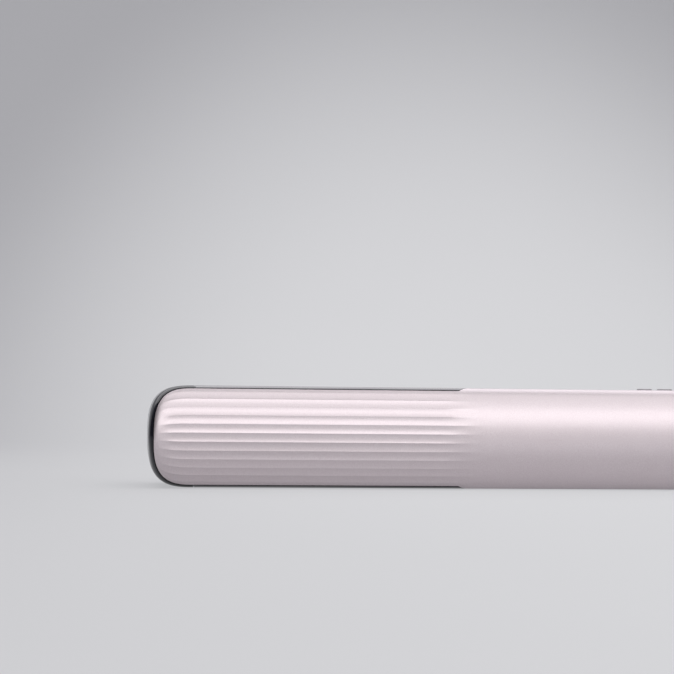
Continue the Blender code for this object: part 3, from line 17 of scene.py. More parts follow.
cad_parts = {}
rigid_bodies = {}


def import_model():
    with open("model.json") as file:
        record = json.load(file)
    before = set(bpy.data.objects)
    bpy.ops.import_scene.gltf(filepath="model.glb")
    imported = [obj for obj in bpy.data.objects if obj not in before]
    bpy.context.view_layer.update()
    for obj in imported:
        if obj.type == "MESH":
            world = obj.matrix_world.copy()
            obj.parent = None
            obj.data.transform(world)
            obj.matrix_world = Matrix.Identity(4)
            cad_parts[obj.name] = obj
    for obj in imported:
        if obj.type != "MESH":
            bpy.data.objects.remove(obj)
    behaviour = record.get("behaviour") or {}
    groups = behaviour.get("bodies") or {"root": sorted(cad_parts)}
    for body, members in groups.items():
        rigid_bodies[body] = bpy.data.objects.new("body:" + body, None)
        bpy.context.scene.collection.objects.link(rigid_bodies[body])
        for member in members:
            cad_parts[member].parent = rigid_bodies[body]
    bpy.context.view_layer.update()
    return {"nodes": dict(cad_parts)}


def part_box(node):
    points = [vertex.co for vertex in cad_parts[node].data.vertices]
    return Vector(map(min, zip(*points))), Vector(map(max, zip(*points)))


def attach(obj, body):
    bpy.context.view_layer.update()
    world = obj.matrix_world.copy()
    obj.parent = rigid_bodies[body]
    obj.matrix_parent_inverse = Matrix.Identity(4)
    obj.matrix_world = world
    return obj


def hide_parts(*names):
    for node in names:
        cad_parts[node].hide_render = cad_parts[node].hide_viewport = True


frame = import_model()

X, Y, Z = 0, 1, 2


def low(node, axis):
    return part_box(node)[0][axis]


def high(node, axis):
    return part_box(node)[1][axis]


# Places read from the frame
TIP = low("front_tip_cap", X)
MIDDLE = (low("front_tip_cap", Z) + high("front_tip_cap", Z)) / 2
HALF_WIDTH = high("front_tip_cap", Z) - MIDDLE
INNER = -high("front_tip_cap", Y)
OUTER = -low("front_shell", Y)
ARM_LENGTH = high("front_shell", X) - TIP
HOUSING_START = low("base_housing", X) - TIP
HOUSING_END = high("base_housing", X) - TIP
CAGE_START = low("filter_cage", X) - TIP
OVERALL_LENGTH = high("filter_cage", X) - TIP
HINGE_PLACE = (low("front_hinge_pin", X) + high("front_hinge_pin", X)) / 2 - TIP
HINGE_OFFSET = -(low("front_hinge_pin", Y) + high("front_hinge_pin", Y)) / 2
CONTROL_DEPTH = (low("display_lens", Y) + high("display_lens", Y)) / 2

# Arm: crown, tip, walls
CROWN_DEPTH = 0.0130
TIP_LENGTH = 0.0180
TIP_POWER = 3
DROP_LENGTH = 0.0090
DROP_POWER = 5
SHELL_TIP_INSET = 0.0023
SHELL_SIDE_INSET = 0.0012
SHELL_WALL = 0.0018
SKIRT_DROP = 0.0010
CLEARANCE = 0.0003
OVERRUN = 0.0010
FAR = 0.1000
FACE_THICKNESS = 0.0020
SHOULDER = OUTER - CROWN_DEPTH
FACE_BACK = INNER + FACE_THICKNESS
HEAD_LENGTH = low("front_handle_frame", X) - TIP - CLEARANCE + INNER - SHOULDER

# Flutes
FLUTE_PITCH = 0.00348
FLUTE_DEPTH = 0.00027
FLUTE_COUNT = 11
FLUTE_FACETS = 14
FLUTE_START = 0.0030
FLUTE_FULL = 0.0105
FLUTE_END = HEAD_LENGTH + 0.0050
FLUTE_FADE = FLUTE_END - 0.0190
MARGIN_SHARES = (0.08, 0.2, 0.35, 0.5, 0.65, 0.8, 0.9, 1.0)
STATION_GAP = 0.00015
ARC_STEPS = 4001

# Nozzle and bars
NOZZLE_HALF = 0.0070
RIB_WIDTH = 0.0016
BAR_WIDTH = 0.0070
BAR_PROUD = 0.0005
BAR_FLANGE = 0.0006
BAR_BACK = 0.0012
NOZZLE_RECESS = 0.0002
NOZZLE_FLANGE = 0.0007
NOZZLE_BACK = 0.0009
SLOT_LENGTH = 0.0062
SLOT_WIDTH = 0.0015
SLOT_PITCH = 0.0080
SLOT_ROW = 0.0033
SLOT_LEAN = 30
WINDOW_START = low("front_upper_bar", X) - TIP - CLEARANCE
WINDOW_END = high("front_upper_bar", X) - TIP + CLEARANCE

# Base
HOUSING_WALL = 0.0018
BULKHEAD_SETBACK = 0.0007
CAGE_WALL = 0.0015
CAGE_ROUND = 0.0060
CAGE_ROUND_INSET = 0.0036
CAGE_HOLE_RADIUS = 0.0085
CAGE_SLOTS = 36
CAGE_SLOT_WIDTH = 0.0016
CAGE_SLOT_LENGTH = 0.0125
CAGE_SLOT_SETBACK = 0.0030
FILTER_INSET = 0.0040
FILTER_WALL = 0.0010
SEAL_INSET = 0.0021
SEAL_WALL = 0.0014
SEAL_ROOT = 0.0002
SEAL_SLOPE = 12
SEAL_NOTCH = 0.0013

# Arm lock
LOCK_TRAVEL = 0.0045
KNOB_STEM = 0.0035
SLOT_ACROSS = 0.0034
KNOB_HEIGHT = 0.0016
KNOB_RIDGES = 7
KNOB_RIDGE_HEIGHT = 0.0004

# Controls and fasteners
BUTTONS = ("heat_up", "heat_down", "mode", "power")
BUTTON_FLANGE = 0.0007
BUTTON_DISH = 0.0002
BUTTON_RIM = 0.0005
DISPLAY_FLANGE = 0.0010
CONTROL_CORNER = 0.0020
MARK_WIDTH = 0.00035
MARK_RAISE = 0.00005
SIGN_PLACE = 0.1580
SIGN_DEPTH = 0.00025
SIGN_WIDTH = 0.00055
SIGN_STROKES = ((0.0085, -0.0005), (0.0060, -0.0020), (0.0085, -0.0035))
SCREW_RADIUS = 0.0011
SCREW_HEAD_RADIUS = 0.0023
SCREW_HEAD_HEIGHT = 0.0010
SCREW_LENGTH = 0.0060
RECESS_WIDTH = 0.0006
RECESS_LENGTH = 0.0024
RECESS_DEPTH = 0.0006
SPRING_RADIUS = 0.0030
SPRING_WIRE = 0.0004
SPRING_PITCH = 0.0013
SPRING_TURNS = 4
SPRING_REACH = 0.0130
SPRING_FACETS = 32

# Cable gland
GLAND_BORE = 0.0032
GLAND_STEP = 0.0018
GLAND_FLANGE = 0.0022
GLAND_ROUND = 0.0005
GLAND_RINGS = 3

# Rounding of edges
FINE_EDGE = 0.00012
SOFT_EDGE = 0.00030
RIDGE_EDGE = 0.00010
METAL_EDGE = 0.00020
LENS_EDGE = 0.00020
KNOB_EDGE = 0.00050
SAME_PLACE = 0.000002
CROWN_STEPS = 64
ROUND_FACETS = 48

# Patterns of the circuit board's tracks and the woven mesh
TRACK_PITCH = 0.0016
TRACK_HALF = 0.16
MESH_PITCH = 0.00070

# Camera, fitted to the photograph's outline of the arm
CAMERA_PLACE = Vector((-0.15433, -0.75651, 0.03697))
CAMERA_YAW = 6.079
CAMERA_PITCH = 1.76
CAMERA_ROLL = 0.577
CAMERA_LENS = 100

# Lamps: place, size, power, tint, height of the point they are aimed at
LAMPS = {
    "overhead_softbox": ((0.20, -0.60, 1.15), (2.3, 2.3), 16.2, (1.0, 0.985, 0.99), 0.0),
    "front_softbox": ((0.25, -1.50, 0.80), (3.0, 1.9), 11.0, (1.0, 0.985, 0.99), 0.60),
    "rear_softbox": ((0.0, 0.85, 0.85), (2.2, 0.9), 6.5, (1.0, 0.98, 1.0), 0.0),
}

# Strength of the surrounding air, as light and as what the camera sees past the backdrop
AIR_LIGHT = 0.06
AIR_SEEN = 0.56

# Backdrop: its floor's front edge, its wall and the bend between them
BACKDROP_WIDTH = 3.0
BACKDROP_FRONT = -2.0
BACKDROP_BACK = 1.1
BACKDROP_BEND = 0.5
BACKDROP_TOP = 2.2

# Painted pool of light on it, a glow that is no lamp: place and reach along and up, tilt, how far it fades
# on the floor and how much more on the wall, the painted colours at its edge and its heart
PAINTED_POOL_PLACE = (0.14, 0.02)
PAINTED_POOL_REACH = (0.42, 0.50)
PAINTED_POOL_TILT = 0.1
PAINTED_FADE_FLOOR = 0.80
PAINTED_FADE_WALL = 0.20
PAINTED_POOL_EDGE = (0.42, 0.42, 0.45, 1.0)
PAINTED_POOL_HEART = (0.90, 0.905, 0.93, 1.0)

# Shares of the painted light that the camera sees and that glossy pieces mirror as a painted reflection of a
# glow
# that is no lamp: everywhere, more from behind the object, and more from before it
SEEN_SHARE = 0.55
MIRRORED_ALL = 0.27
MIRRORED_BEHIND = 0.28
MIRRORED_BEFORE = 0.42


def operator(operation, reflected=False):
    """A Python operator of Value, which adds a Math node."""

    def run(self, *others):
        return self.math(operation, *others, self) if reflected else self.math(operation, self, *others)

    return run


class Value:
    """A socket that takes part in Python expressions: each operator adds its Math node."""

    def __init__(self, tree, socket):
        self.tree = tree
        self.socket = socket

    def math(self, operation, *terms):
        return self.tree.add("ShaderNodeMath", {"operation": operation}, dict(enumerate(terms)))

    __add__, __radd__ = operator("ADD"), operator("ADD", True)
    __sub__, __rsub__ = operator("SUBTRACT"), operator("SUBTRACT", True)
    __mul__, __rmul__ = operator("MULTIPLY"), operator("MULTIPLY", True)
    __truediv__, __rtruediv__ = operator("DIVIDE"), operator("DIVIDE", True)
    __lt__, __gt__ = operator("LESS_THAN"), operator("GREATER_THAN")
    __abs__, __round__ = operator("ABSOLUTE"), operator("ROUND")

    def also(self, output):
        """Another output of the same node."""
        return Value(self.tree, self.socket.node.outputs[output])


class Tree:
    """A node tree that grows by one method."""

    def __init__(self, nodes):
        self.nodes = nodes

    def add(self, kind, settings=None, sockets=None):
        """Adds a node: its settings, its sockets' values or links; gives its first live output."""
        node = self.nodes.nodes.new(kind)
        for name, setting in (settings or {}).items():
            setattr(node, name, setting)
        for key, value in (sockets or {}).items():
            self.feed(node.inputs[key], value)
        live = [socket for socket in node.outputs if socket.enabled]
        return Value(self, live[0]) if live else None

    def feed(self, socket, value):
        if isinstance(value, Value):
            self.nodes.links.new(value.socket, socket)
        else:
            socket.default_value = value

    def split(self, vector):
        """The three parts of a vector."""
        first = self.add("ShaderNodeSeparateXYZ", {}, {0: vector})
        return first, first.also(1), first.also(2)

    def ramp(self, value, start, end):
        """0 before start, 1 past end, with a smooth rise between."""
        sockets = {"Value": value, "From Min": start, "From Max": end}
        return self.add("ShaderNodeMapRange", {"interpolation_type": "SMOOTHSTEP"}, sockets)


class Growth(Tree):
    """A Geometry Nodes tree with named inputs."""

    KINDS = {float: "NodeSocketFloat", int: "NodeSocketInt"}

    def __init__(self, name, inputs):
        super().__init__(bpy.data.node_groups.new(name, "GeometryNodeTree"))
        interface = self.nodes.interface
        interface.new_socket("Geometry", in_out="INPUT", socket_type="NodeSocketGeometry")
        interface.new_socket("Geometry", in_out="OUTPUT", socket_type="NodeSocketGeometry")
        for label, kind in inputs.items():
            interface.new_socket(label, in_out="INPUT", socket_type=self.KINDS.get(kind, kind))
        interface.new_socket("Finish", in_out="INPUT", socket_type="NodeSocketMaterial")
        self.given = self.nodes.nodes.new("NodeGroupInput")

    def input(self, label):
        return Value(self, self.given.outputs[label])

    def attribute(self, label, kind="FLOAT"):
        return self.add("GeometryNodeInputNamedAttribute", {"data_type": kind}, {"Name": label})

    def end(self, geometry):
        """Closes the tree: real meshes, with the finish on them."""
        real = self.add("GeometryNodeRealizeInstances", {}, {"Geometry": geometry})
        sockets = {"Geometry": real, "Material": self.input("Finish")}
        painted = self.add("GeometryNodeSetMaterial", {}, sockets)
        self.add("NodeGroupOutput", {}, {0: painted})
        return self

    def grow(self, draft, finish, **values):
        """Runs the tree on a draft and gives the plain mesh object that comes of it."""
        modifier = draft.modifiers.new("growth", "NODES")
        modifier.node_group = self.nodes
        values["Finish"] = finish
        for item in self.nodes.interface.items_tree:
            if item.in_out == "INPUT" and item.name in values:
                modifier[item.identifier] = values[item.name]
        return baked(draft)


class Finish(Tree):
    """A material: constants on the shader's own sockets, patterns in Object coordinates."""

    def __init__(self, name, **constants):
        self.material = bpy.data.materials.new(name)
        self.material.use_nodes = True
        super().__init__(self.material.node_tree)
        self.shader = self.nodes.nodes["Principled BSDF"]
        for label, value in constants.items():
            self.shader.inputs[label.replace("_", " ")].default_value = value
        self.coordinates = self.add("ShaderNodeTexCoord").also("Object")

    def noise(self, grain, detail=2.0, stretch=(1, 1, 1)):
        """Noise whose grain is a length in metres, longer along the stretched directions."""
        scale = [1 / (grain * share) for share in stretch]
        mapped = self.add("ShaderNodeMapping", {}, {"Vector": self.coordinates, "Scale": scale})
        return self.add("ShaderNodeTexNoise", {}, {"Vector": mapped, "Scale": 1.0, "Detail": detail})

    def blend(self, share, first, second):
        """A colour between two."""
        return self.add("ShaderNodeMix", {"data_type": "RGBA"}, {0: share, 6: first, 7: second})

    def set(self, label, value):
        self.feed(self.shader.inputs[label], value)

    def relief(self, height, depth):
        """Bump of a real depth in metres."""
        self.set("Normal", self.add("ShaderNodeBump", {}, {"Height": height, "Distance": depth}))


def rgb(red, green, blue):
    return (red, green, blue, 1.0)


def pearl_shell():
    """Rose-silver pearl lacquer: fine flakes under a thin satin coat."""
    finish = Finish("pearl_lacquer", Metallic=0.78, Coat_Weight=0.35, Coat_Roughness=0.25)
    flake = finish.noise(0.00022, 1.0)
    cloud = finish.noise(0.0060, 3.0)
    share = finish.ramp(flake * 0.92 + cloud * 0.08, 0.30, 0.70)
    finish.set("Base Color", finish.blend(share, rgb(0.765, 0.674, 0.708), rgb(0.868, 0.790, 0.818)))
    finish.set("Roughness", 0.34 + 0.10 * flake)
    finish.relief(finish.noise(0.00035, 2.0), 0.000004)
    return finish.material


def gloss(name, dark, light, smudge, coat, ior):
    """Polished dark plastic with the faint smears of handling."""
    finish = Finish(name, Coat_Weight=coat, Coat_Roughness=0.05, IOR=ior)
    smear = finish.noise(0.0040, 4.0, (3, 1, 1))
    finish.set("Base Color", finish.blend(smear, dark, light))
    finish.set("Roughness", 0.07 + smudge * finish.ramp(smear, 0.45, 0.75))
    finish.relief(finish.noise(0.0012, 2.0), 0.000003)
    return finish.material


def grained(name, grain, patch, colours, roughness, spread, depth, **constants):
    """One grain that roughens and raises the surface; a patch, or the same grain, colours it."""
    finish = Finish(name, **constants)
    fine = finish.noise(*grain)
    finish.set("Base Color", finish.blend(finish.noise(*patch) if patch else fine, *colours))
    finish.set("Roughness", roughness + spread * fine)
    finish.relief(fine, depth)
    return finish.material


def off_line(distance, pitch):
    """How far a distance is off the nearest of evenly pitched lines, as a share of their pitch."""
    line = (distance + 1) / pitch
    return abs(line - round(line))


def circuit_board():
    """Green solder resist over raised copper tracks."""
    finish = Finish("circuit_board", IOR=1.5)
    along, _, across = finish.split(finish.coordinates)
    rail = off_line(across, TRACK_PITCH) < TRACK_HALF
    drop = (off_line(along, TRACK_PITCH) < TRACK_HALF) * (finish.noise(0.0050, 0.0) > 0.52)
    track = finish.ramp(rail + drop, 0.2, 0.8)
    finish.set("Base Color", finish.blend(track, rgb(0.012, 0.105, 0.040), rgb(0.035, 0.220, 0.085)))
    finish.set("Roughness", 0.42 - 0.12 * track)
    finish.relief(track, 0.000030)
    return finish.material


def filter_mesh():
    """Woven steel wire: over and under in squares, with painted shade, near black, in the openings between
    the wires.
    """
    finish = Finish("woven_wire_mesh", IOR=1.5)
    along, _, _ = finish.split(finish.coordinates)
    round_place = finish.add("ShaderNodeAttribute", {"attribute_name": "round"}).also("Fac")
    warp, weft = off_line(along, MESH_PITCH), off_line(round_place, MESH_PITCH)
    wire = finish.ramp(warp, 0.34, 0.20) + finish.ramp(weft, 0.34, 0.20)
    solid = finish.ramp(wire, 0.10, 0.60)
    # Painted shade: the openings between the wires are coloured near black for the dark inside seen through
    # them.
    finish.set("Base Color", finish.blend(solid, rgb(0.012, 0.012, 0.013), rgb(0.52, 0.50, 0.51)))
    finish.set("Metallic", solid)
    finish.set("Roughness", 0.75 - 0.40 * solid)
    finish.relief(wire, 0.000120)
    return finish.material


def backdrop_paper():
    """Pale paper that glows, though it is no lamp, with a painted pool of light that fades to the sides and
    shows to the camera.
    """
    finish = Finish("backdrop_paper", Roughness=0.9)
    along, depth, height = finish.split(finish.coordinates)
    cloud = finish.noise(0.30)
    finish.set("Base Color", finish.blend(cloud, rgb(0.47, 0.472, 0.485), rgb(0.52, 0.522, 0.535)))
    # Painted pool of light: the glow is brightest at one place and fades to darker sides, more on the wall.
    aside = (along - PAINTED_POOL_PLACE[0]) / PAINTED_POOL_REACH[0]
    above = (height + depth * PAINTED_POOL_TILT - PAINTED_POOL_PLACE[1]) / PAINTED_POOL_REACH[1]
    painted_pool = finish.ramp(aside * aside + above * above, 1.6, 0.0)
    painted_fade = PAINTED_FADE_FLOOR + finish.ramp(depth, 0.0, 0.60) * PAINTED_FADE_WALL
    painted_light = finish.blend(1 - (1 - painted_pool) * painted_fade, PAINTED_POOL_EDGE, PAINTED_POOL_HEART)
    painted_glow = finish.add("ShaderNodeEmission", {}, {"Color": painted_light})
    rays = finish.add("ShaderNodeLightPath")
    # The backdrop glows for glossy rays though it is no lamp: a painted reflection on glossy pieces, stronger
    # behind and before the object.
    behind, before = finish.ramp(depth, -0.05, 0.10), finish.ramp(depth, -0.06, -0.13)
    mirrored = MIRRORED_ALL + behind * MIRRORED_BEHIND + before * MIRRORED_BEFORE
    seen = rays * SEEN_SHARE + rays.also("Is Glossy Ray") * mirrored
    paper = Value(finish, finish.shader.outputs[0])
    mixed = finish.add("ShaderNodeMixShader", {}, {0: seen, 1: paper, 2: painted_glow})
    back = finish.add("ShaderNodeNewGeometry").also("Backfacing")
    clear = finish.add("ShaderNodeBsdfTransparent")
    surface = finish.add("ShaderNodeMixShader", {}, {0: back, 1: mixed, 2: clear})
    finish.feed(finish.nodes.nodes["Material Output"].inputs["Surface"], surface)
    return finish.material


def new_collection(name):
    made = bpy.data.collections.new(name)
    bpy.context.scene.collection.children.link(made)
    return made


DRAFTS = new_collection("drafts")
SHOWN = new_collection("shown_pieces")


def place(along, depth, across):
    """A point: distance from the tip, depth along Y, height about the middle of the width."""
    return Vector((TIP + along, depth, MIDDLE + across))


def quarter_turn(steps):
    """Angles that step through a quarter turn."""
    return [math.pi / 2 * step / steps for step in range(steps + 1)]


def opened(*meshes):
    """A bmesh that holds some meshes."""
    bm = bmesh.new()
    for mesh in meshes:
        bm.from_mesh(mesh)
    return bm


def mesh_object(name, bm):
    """A draft object from a bmesh, faces pointing outwards."""
    bmesh.ops.recalc_face_normals(bm, faces=bm.faces)
    mesh = bpy.data.meshes.new(name)
    bm.to_mesh(mesh)
    bm.free()
    made = bpy.data.objects.new(name, mesh)
    DRAFTS.objects.link(made)
    return made


def loft(name, rings, annular=False):
    """A closed solid through rings of points that have equal counts; an annular one has no ends."""
    bm = bmesh.new()
    loops = [[bm.verts.new(point) for point in ring] for ring in rings]
    for first, second in zip(loops, loops[1:] + (loops[:1] if annular else [])):
        for i, vert in enumerate(first):
            bm.faces.new((first[i - 1], vert, second[i], second[i - 1]))
    if not annular:
        bm.faces.new(loops[0])
        bm.faces.new(loops[-1])
    return mesh_object(name, bm)


def prism(name, outline, sweep):
    """A closed solid: a flat outline, extruded by a vector."""
    bm = bmesh.new()
    face = bm.faces.new([bm.verts.new(point) for point in outline])
    grown = bmesh.ops.extrude_face_region(bm, geom=[face])["geom"]
    moved = [item for item in grown if isinstance(item, bmesh.types.BMVert)]
    bmesh.ops.translate(bm, verts=moved, vec=sweep)
    return mesh_object(name, bm)


def along_prism(name, outline, start, end):
    """An outline of (depth, across) pairs, extruded along the body."""
    return prism(name, [place(start, *pair) for pair in outline], Vector((end - start, 0, 0)))


def depth_prism(name, outline, near, far):
    """An outline of (along, across) pairs, extruded through the arms."""
    return prism(name, [place(s, near, across) for s, across in outline], Vector((0, far - near, 0)))


def cross_prism(name, outline, floor, roof):
    """An outline of (along, depth) pairs, extruded across the width."""
    return prism(name, [place(s, depth, floor) for s, depth in outline], Vector((0, 0, roof - floor)))


def block(name, along, depth, across):
    """A box between pairs of limits along the three directions."""
    first, second = place(along[0], depth[0], across[0]), place(along[1], depth[1], across[1])
    size = Vector([abs(step) for step in second - first])
    bm = bmesh.new()
    bmesh.ops.create_cube(bm, size=1, matrix=Matrix.LocRotScale((first + second) / 2, None, size))
    return mesh_object(name, bm)


def turned(name, profile, matrix, facets=ROUND_FACETS):
    """A solid of revolution about Z: profile of (radius, height) from pole to pole, then placed."""
    bm = bmesh.new()
    loops = []
    for radius, height in profile:
        if radius == 0:
            loops.append([bm.verts.new((0, 0, height))])
            continue
        turns = [2 * math.pi * i / facets for i in range(facets)]
        loops.append([bm.verts.new((radius * math.cos(t), radius * math.sin(t), height)) for t in turns])
    for first, second in zip(loops, loops[1:]):
        for i in range(facets):
            corners = (first[(i - 1) % len(first)], first[i % len(first)], second[i % len(second)],
                       second[(i - 1) % len(second)])
            bm.faces.new(list(dict.fromkeys(corners)))
    bmesh.ops.transform(bm, matrix=matrix, verts=bm.verts)
    return mesh_object(name, bm)


def rounded_box(center, length, width, corner, steps=8):
    """Outline of a rectangle with round corners as pairs."""
    points = []
    for quarter, (sign_x, sign_y) in enumerate(((1, 1), (-1, 1), (-1, -1), (1, -1))):
        middle_x = center[0] + sign_x * (length / 2 - corner)
        middle_y = center[1] + sign_y * (width / 2 - corner)
        for step in range(steps + 1):
            angle = math.pi / 2 * (quarter + step / steps)
            points.append((middle_x + corner * math.cos(angle), middle_y + corner * math.sin(angle)))
    return points


def evaluated_mesh(thing):
    """An object's final shape as a new mesh."""
    bpy.context.view_layer.update()
    graph = bpy.context.evaluated_depsgraph_get()
    return bpy.data.meshes.new_from_object(thing.evaluated_get(graph))


def baked(draft):
    """Applies a draft's modifiers to its mesh."""
    mesh = evaluated_mesh(draft)
    draft.modifiers.clear()
    draft.data = mesh
    return draft


def boolean(target, operation, *others):
    for other in others:
        modifier = target.modifiers.new(other.name, "BOOLEAN")
        modifier.operation = operation
        modifier.solver = "EXACT"
        modifier.object = other
    return baked(target)


def cut(target, *others):
    return boolean(target, "DIFFERENCE", *others)


def join(target, *others):
    return boolean(target, "UNION", *others)


def common(target, other):
    return boolean(target, "INTERSECT", other)


def group(name, pieces):
    """Several separate solids as one draft."""
    return mesh_object(name, opened(*[piece.data for piece in pieces]))


def softened(draft, width, segments=3, angle=38):
    """Rounds the edges that are sharper than an angle."""
    bm = opened(draft.data)
    bmesh.ops.remove_doubles(bm, verts=bm.verts, dist=SAME_PLACE)
    bmesh.ops.dissolve_degenerate(bm, edges=bm.edges, dist=SAME_PLACE)
    bm.to_mesh(draft.data)
    bm.free()
    modifier = draft.modifiers.new("rounded_edges", "BEVEL")
    modifier.width = width
    modifier.segments = segments
    modifier.limit_method = "ANGLE"
    modifier.angle_limit = math.radians(angle)
    modifier.use_clamp_overlap = True
    return baked(draft)


def mirrored(draft):
    """The rear arm's image of a front arm's draft."""
    bm = opened(draft.data)
    bmesh.ops.transform(bm, matrix=Matrix.Scale(-1, 4, (0, 1, 0)), verts=bm.verts)
    bmesh.ops.reverse_faces(bm, faces=bm.faces)
    return mesh_object(draft.name, bm)


def merged_copy(node):
    """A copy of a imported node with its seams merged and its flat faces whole."""
    bm = opened(frame["nodes"][node].data)
    bmesh.ops.remove_doubles(bm, verts=bm.verts, dist=SAME_PLACE)
    bmesh.ops.dissolve_limit(bm, angle_limit=math.radians(1), verts=bm.verts, edges=bm.edges)
    return mesh_object(node + "_copy", bm)


def show(draft, name, slot, body, *nodes, crease=26):
    """Gives a piece its finish and hands it to its body, in the place of the nodes it stands for."""
    DRAFTS.objects.unlink(draft)
    SHOWN.objects.link(draft)
    draft.name = name
    draft.data.name = name
    draft.data.materials.clear()
    draft.data.materials.append(FINISHES[slot])
    draft.data.shade_smooth()
    draft.data.set_sharp_from_angle(angle=math.radians(crease))
    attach(draft, body)
    if nodes:
        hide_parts(*nodes)
    return draft


def show_both(draft, name, slot, node, crease=26):
    """Shows a front arm's piece and its image on the rear arm."""
    image = mirrored(draft)
    show(draft, "front_" + name, slot, "front_arm", "front_" + node, crease=crease)
    show(image, "rear_" + name, slot, "rear_arm", "rear_" + node, crease=crease)


def tip_share(distance, length, power=TIP_POWER):
    """How far a rounded tip has opened, from 0 at its end to 1 past its length."""
    if distance >= length:
        return 1.0
    return (1 - (1 - distance / length) ** power) ** (1 / power)


def nose_shares(steps):
    """Shares of a tip's length that step evenly round its curve."""
    turns = [math.pi / 2 * (step + 1) / steps for step in range(steps)]
    return [1 - max(math.cos(turn), 0) ** (2 / TIP_POWER) for turn in turns]


def slant(depth):
    """Where the side frame's slanted end lies at a depth."""
    return HEAD_LENGTH + SHOULDER - depth


def plan_outline(tip_inset, side_inset, end, steps=40):
    """Outline of the arm seen from its outer side, inset, from the tip to a distance."""
    length = TIP_LENGTH - tip_inset
    half = HALF_WIDTH - side_inset
    side = [(tip_inset + length * share, half * tip_share(share, 1.0)) for share in nose_shares(steps)]
    side.append((end, half))
    return side + [(s, -across) for s, across in reversed(side)]


def plain_ring(along, tip_inset, side_inset, crown_inset, bottom):
    """A smooth section of the arm inset from the outer one, closed at a depth given by bottom."""
    half = (HALF_WIDTH - side_inset) * tip_share(along - tip_inset, TIP_LENGTH - tip_inset)
    depth = (CROWN_DEPTH - crown_inset) * tip_share(along - tip_inset, DROP_LENGTH, DROP_POWER)
    ring = [place(along, -bottom, -half)]
    for step in range(CROWN_STEPS + 1):
        angle = math.pi * (step / CROWN_STEPS - 1 / 2)
        ring.append(place(along, -SHOULDER - depth * math.cos(angle), half * math.sin(angle)))
    ring.append(place(along, -bottom, half))
    return ring


def crown_rows():
    """Angle and arc length of each row of the crown: the flutes' facets, then smooth margins."""
    sweep = np.linspace(0, np.pi / 2, ARC_STEPS)
    speed = np.hypot(HALF_WIDTH * np.cos(sweep), CROWN_DEPTH * np.sin(sweep))
    arc = np.concatenate(([0], np.cumsum((speed[1:] + speed[:-1]) / 2 * sweep[1])))
    fluted = FLUTE_PITCH * FLUTE_COUNT / 2
    margin = arc[-1] - fluted
    reach = list(np.linspace(0, fluted, FLUTE_COUNT * FLUTE_FACETS // 2 + 1))
    reach += [fluted + margin * share for share in MARGIN_SHARES]
    angles = np.interp(reach, arc, sweep)
    right = list(zip(angles, reach))
    left = [(-angle, -distance) for angle, distance in reversed(right[1:])]
    return left + right


def shell_stations():
    """Distances from the tip at which the shell's blank has a section."""
    nose = [TIP_LENGTH * share for share in nose_shares(36)]
    drop = [DROP_LENGTH * share for share in nose_shares(30)]
    rise = np.linspace(FLUTE_START, FLUTE_FULL, 9)
    fade = np.linspace(FLUTE_FADE, FLUTE_END, 17)
    wanted = sorted([*nose, *drop, *rise, *fade, ARM_LENGTH])
    kept = [wanted[0]]
    for station in wanted:
        if station - kept[-1] > STATION_GAP:
            kept.append(station)
    return kept


def shell_blank():
    """The arm's plain outer form, with each point's arc length and outward direction."""
    rows = crown_rows()
    rings, arcs, outwards = [], [], []
    for along in shell_stations():
        half = HALF_WIDTH * tip_share(along, TIP_LENGTH)
        depth = CROWN_DEPTH * tip_share(along, DROP_LENGTH, DROP_POWER)
        ring = [place(along, -INNER, -half)]
        arcs.append(-FAR)
        outwards.append((0, 0, -1))
        for angle, arc in rows:
            ring.append(place(along, -SHOULDER - depth * math.cos(angle), half * math.sin(angle)))
            arcs.append(arc)
            outwards.append(Vector((0, -math.cos(angle) / depth, math.sin(angle) / half)).normalized())
        ring.append(place(along, -INNER, half))
        arcs.append(FAR)
        outwards.append((0, 0, 1))
        rings.append(ring)
    blank = loft("shell_blank", rings)
    blank.data.attributes.new("arc", "FLOAT", "POINT").data.foreach_set("value", arcs)
    flat = [part for vector in outwards for part in vector]
    blank.data.attributes.new("outward", "FLOAT_VECTOR", "POINT").data.foreach_set("vector", flat)
    return blank


def carving_tree():
    """Concave flutes side by side over the crown, which fade out before the tip and the handle."""
    sizes = ("Pitch", "Depth", "Count", "Start", "Full", "Fade", "End")
    tree = Growth("carved_flutes", {size: float for size in sizes})
    along, _, _ = tree.split(tree.add("GeometryNodeInputPosition"))
    flute = tree.attribute("arc") / tree.input("Pitch")
    offset = flute - round(flute)
    scoop = (1 - 4 * offset * offset) * (abs(flute) < tree.input("Count") / 2)
    rise = tree.ramp(along, tree.input("Start"), tree.input("Full"))
    fall = tree.ramp(along, tree.input("End"), tree.input("Fade"))
    depth = scoop * rise * fall * tree.input("Depth")
    outward = tree.attribute("outward", "FLOAT_VECTOR")
    inward = tree.add("ShaderNodeVectorMath", {"operation": "SCALE"}, {0: outward, "Scale": 0 - depth})
    carved = tree.add("GeometryNodeSetPosition", {}, {"Geometry": tree.input("Geometry"), "Offset": inward})
    return tree.end(carved)


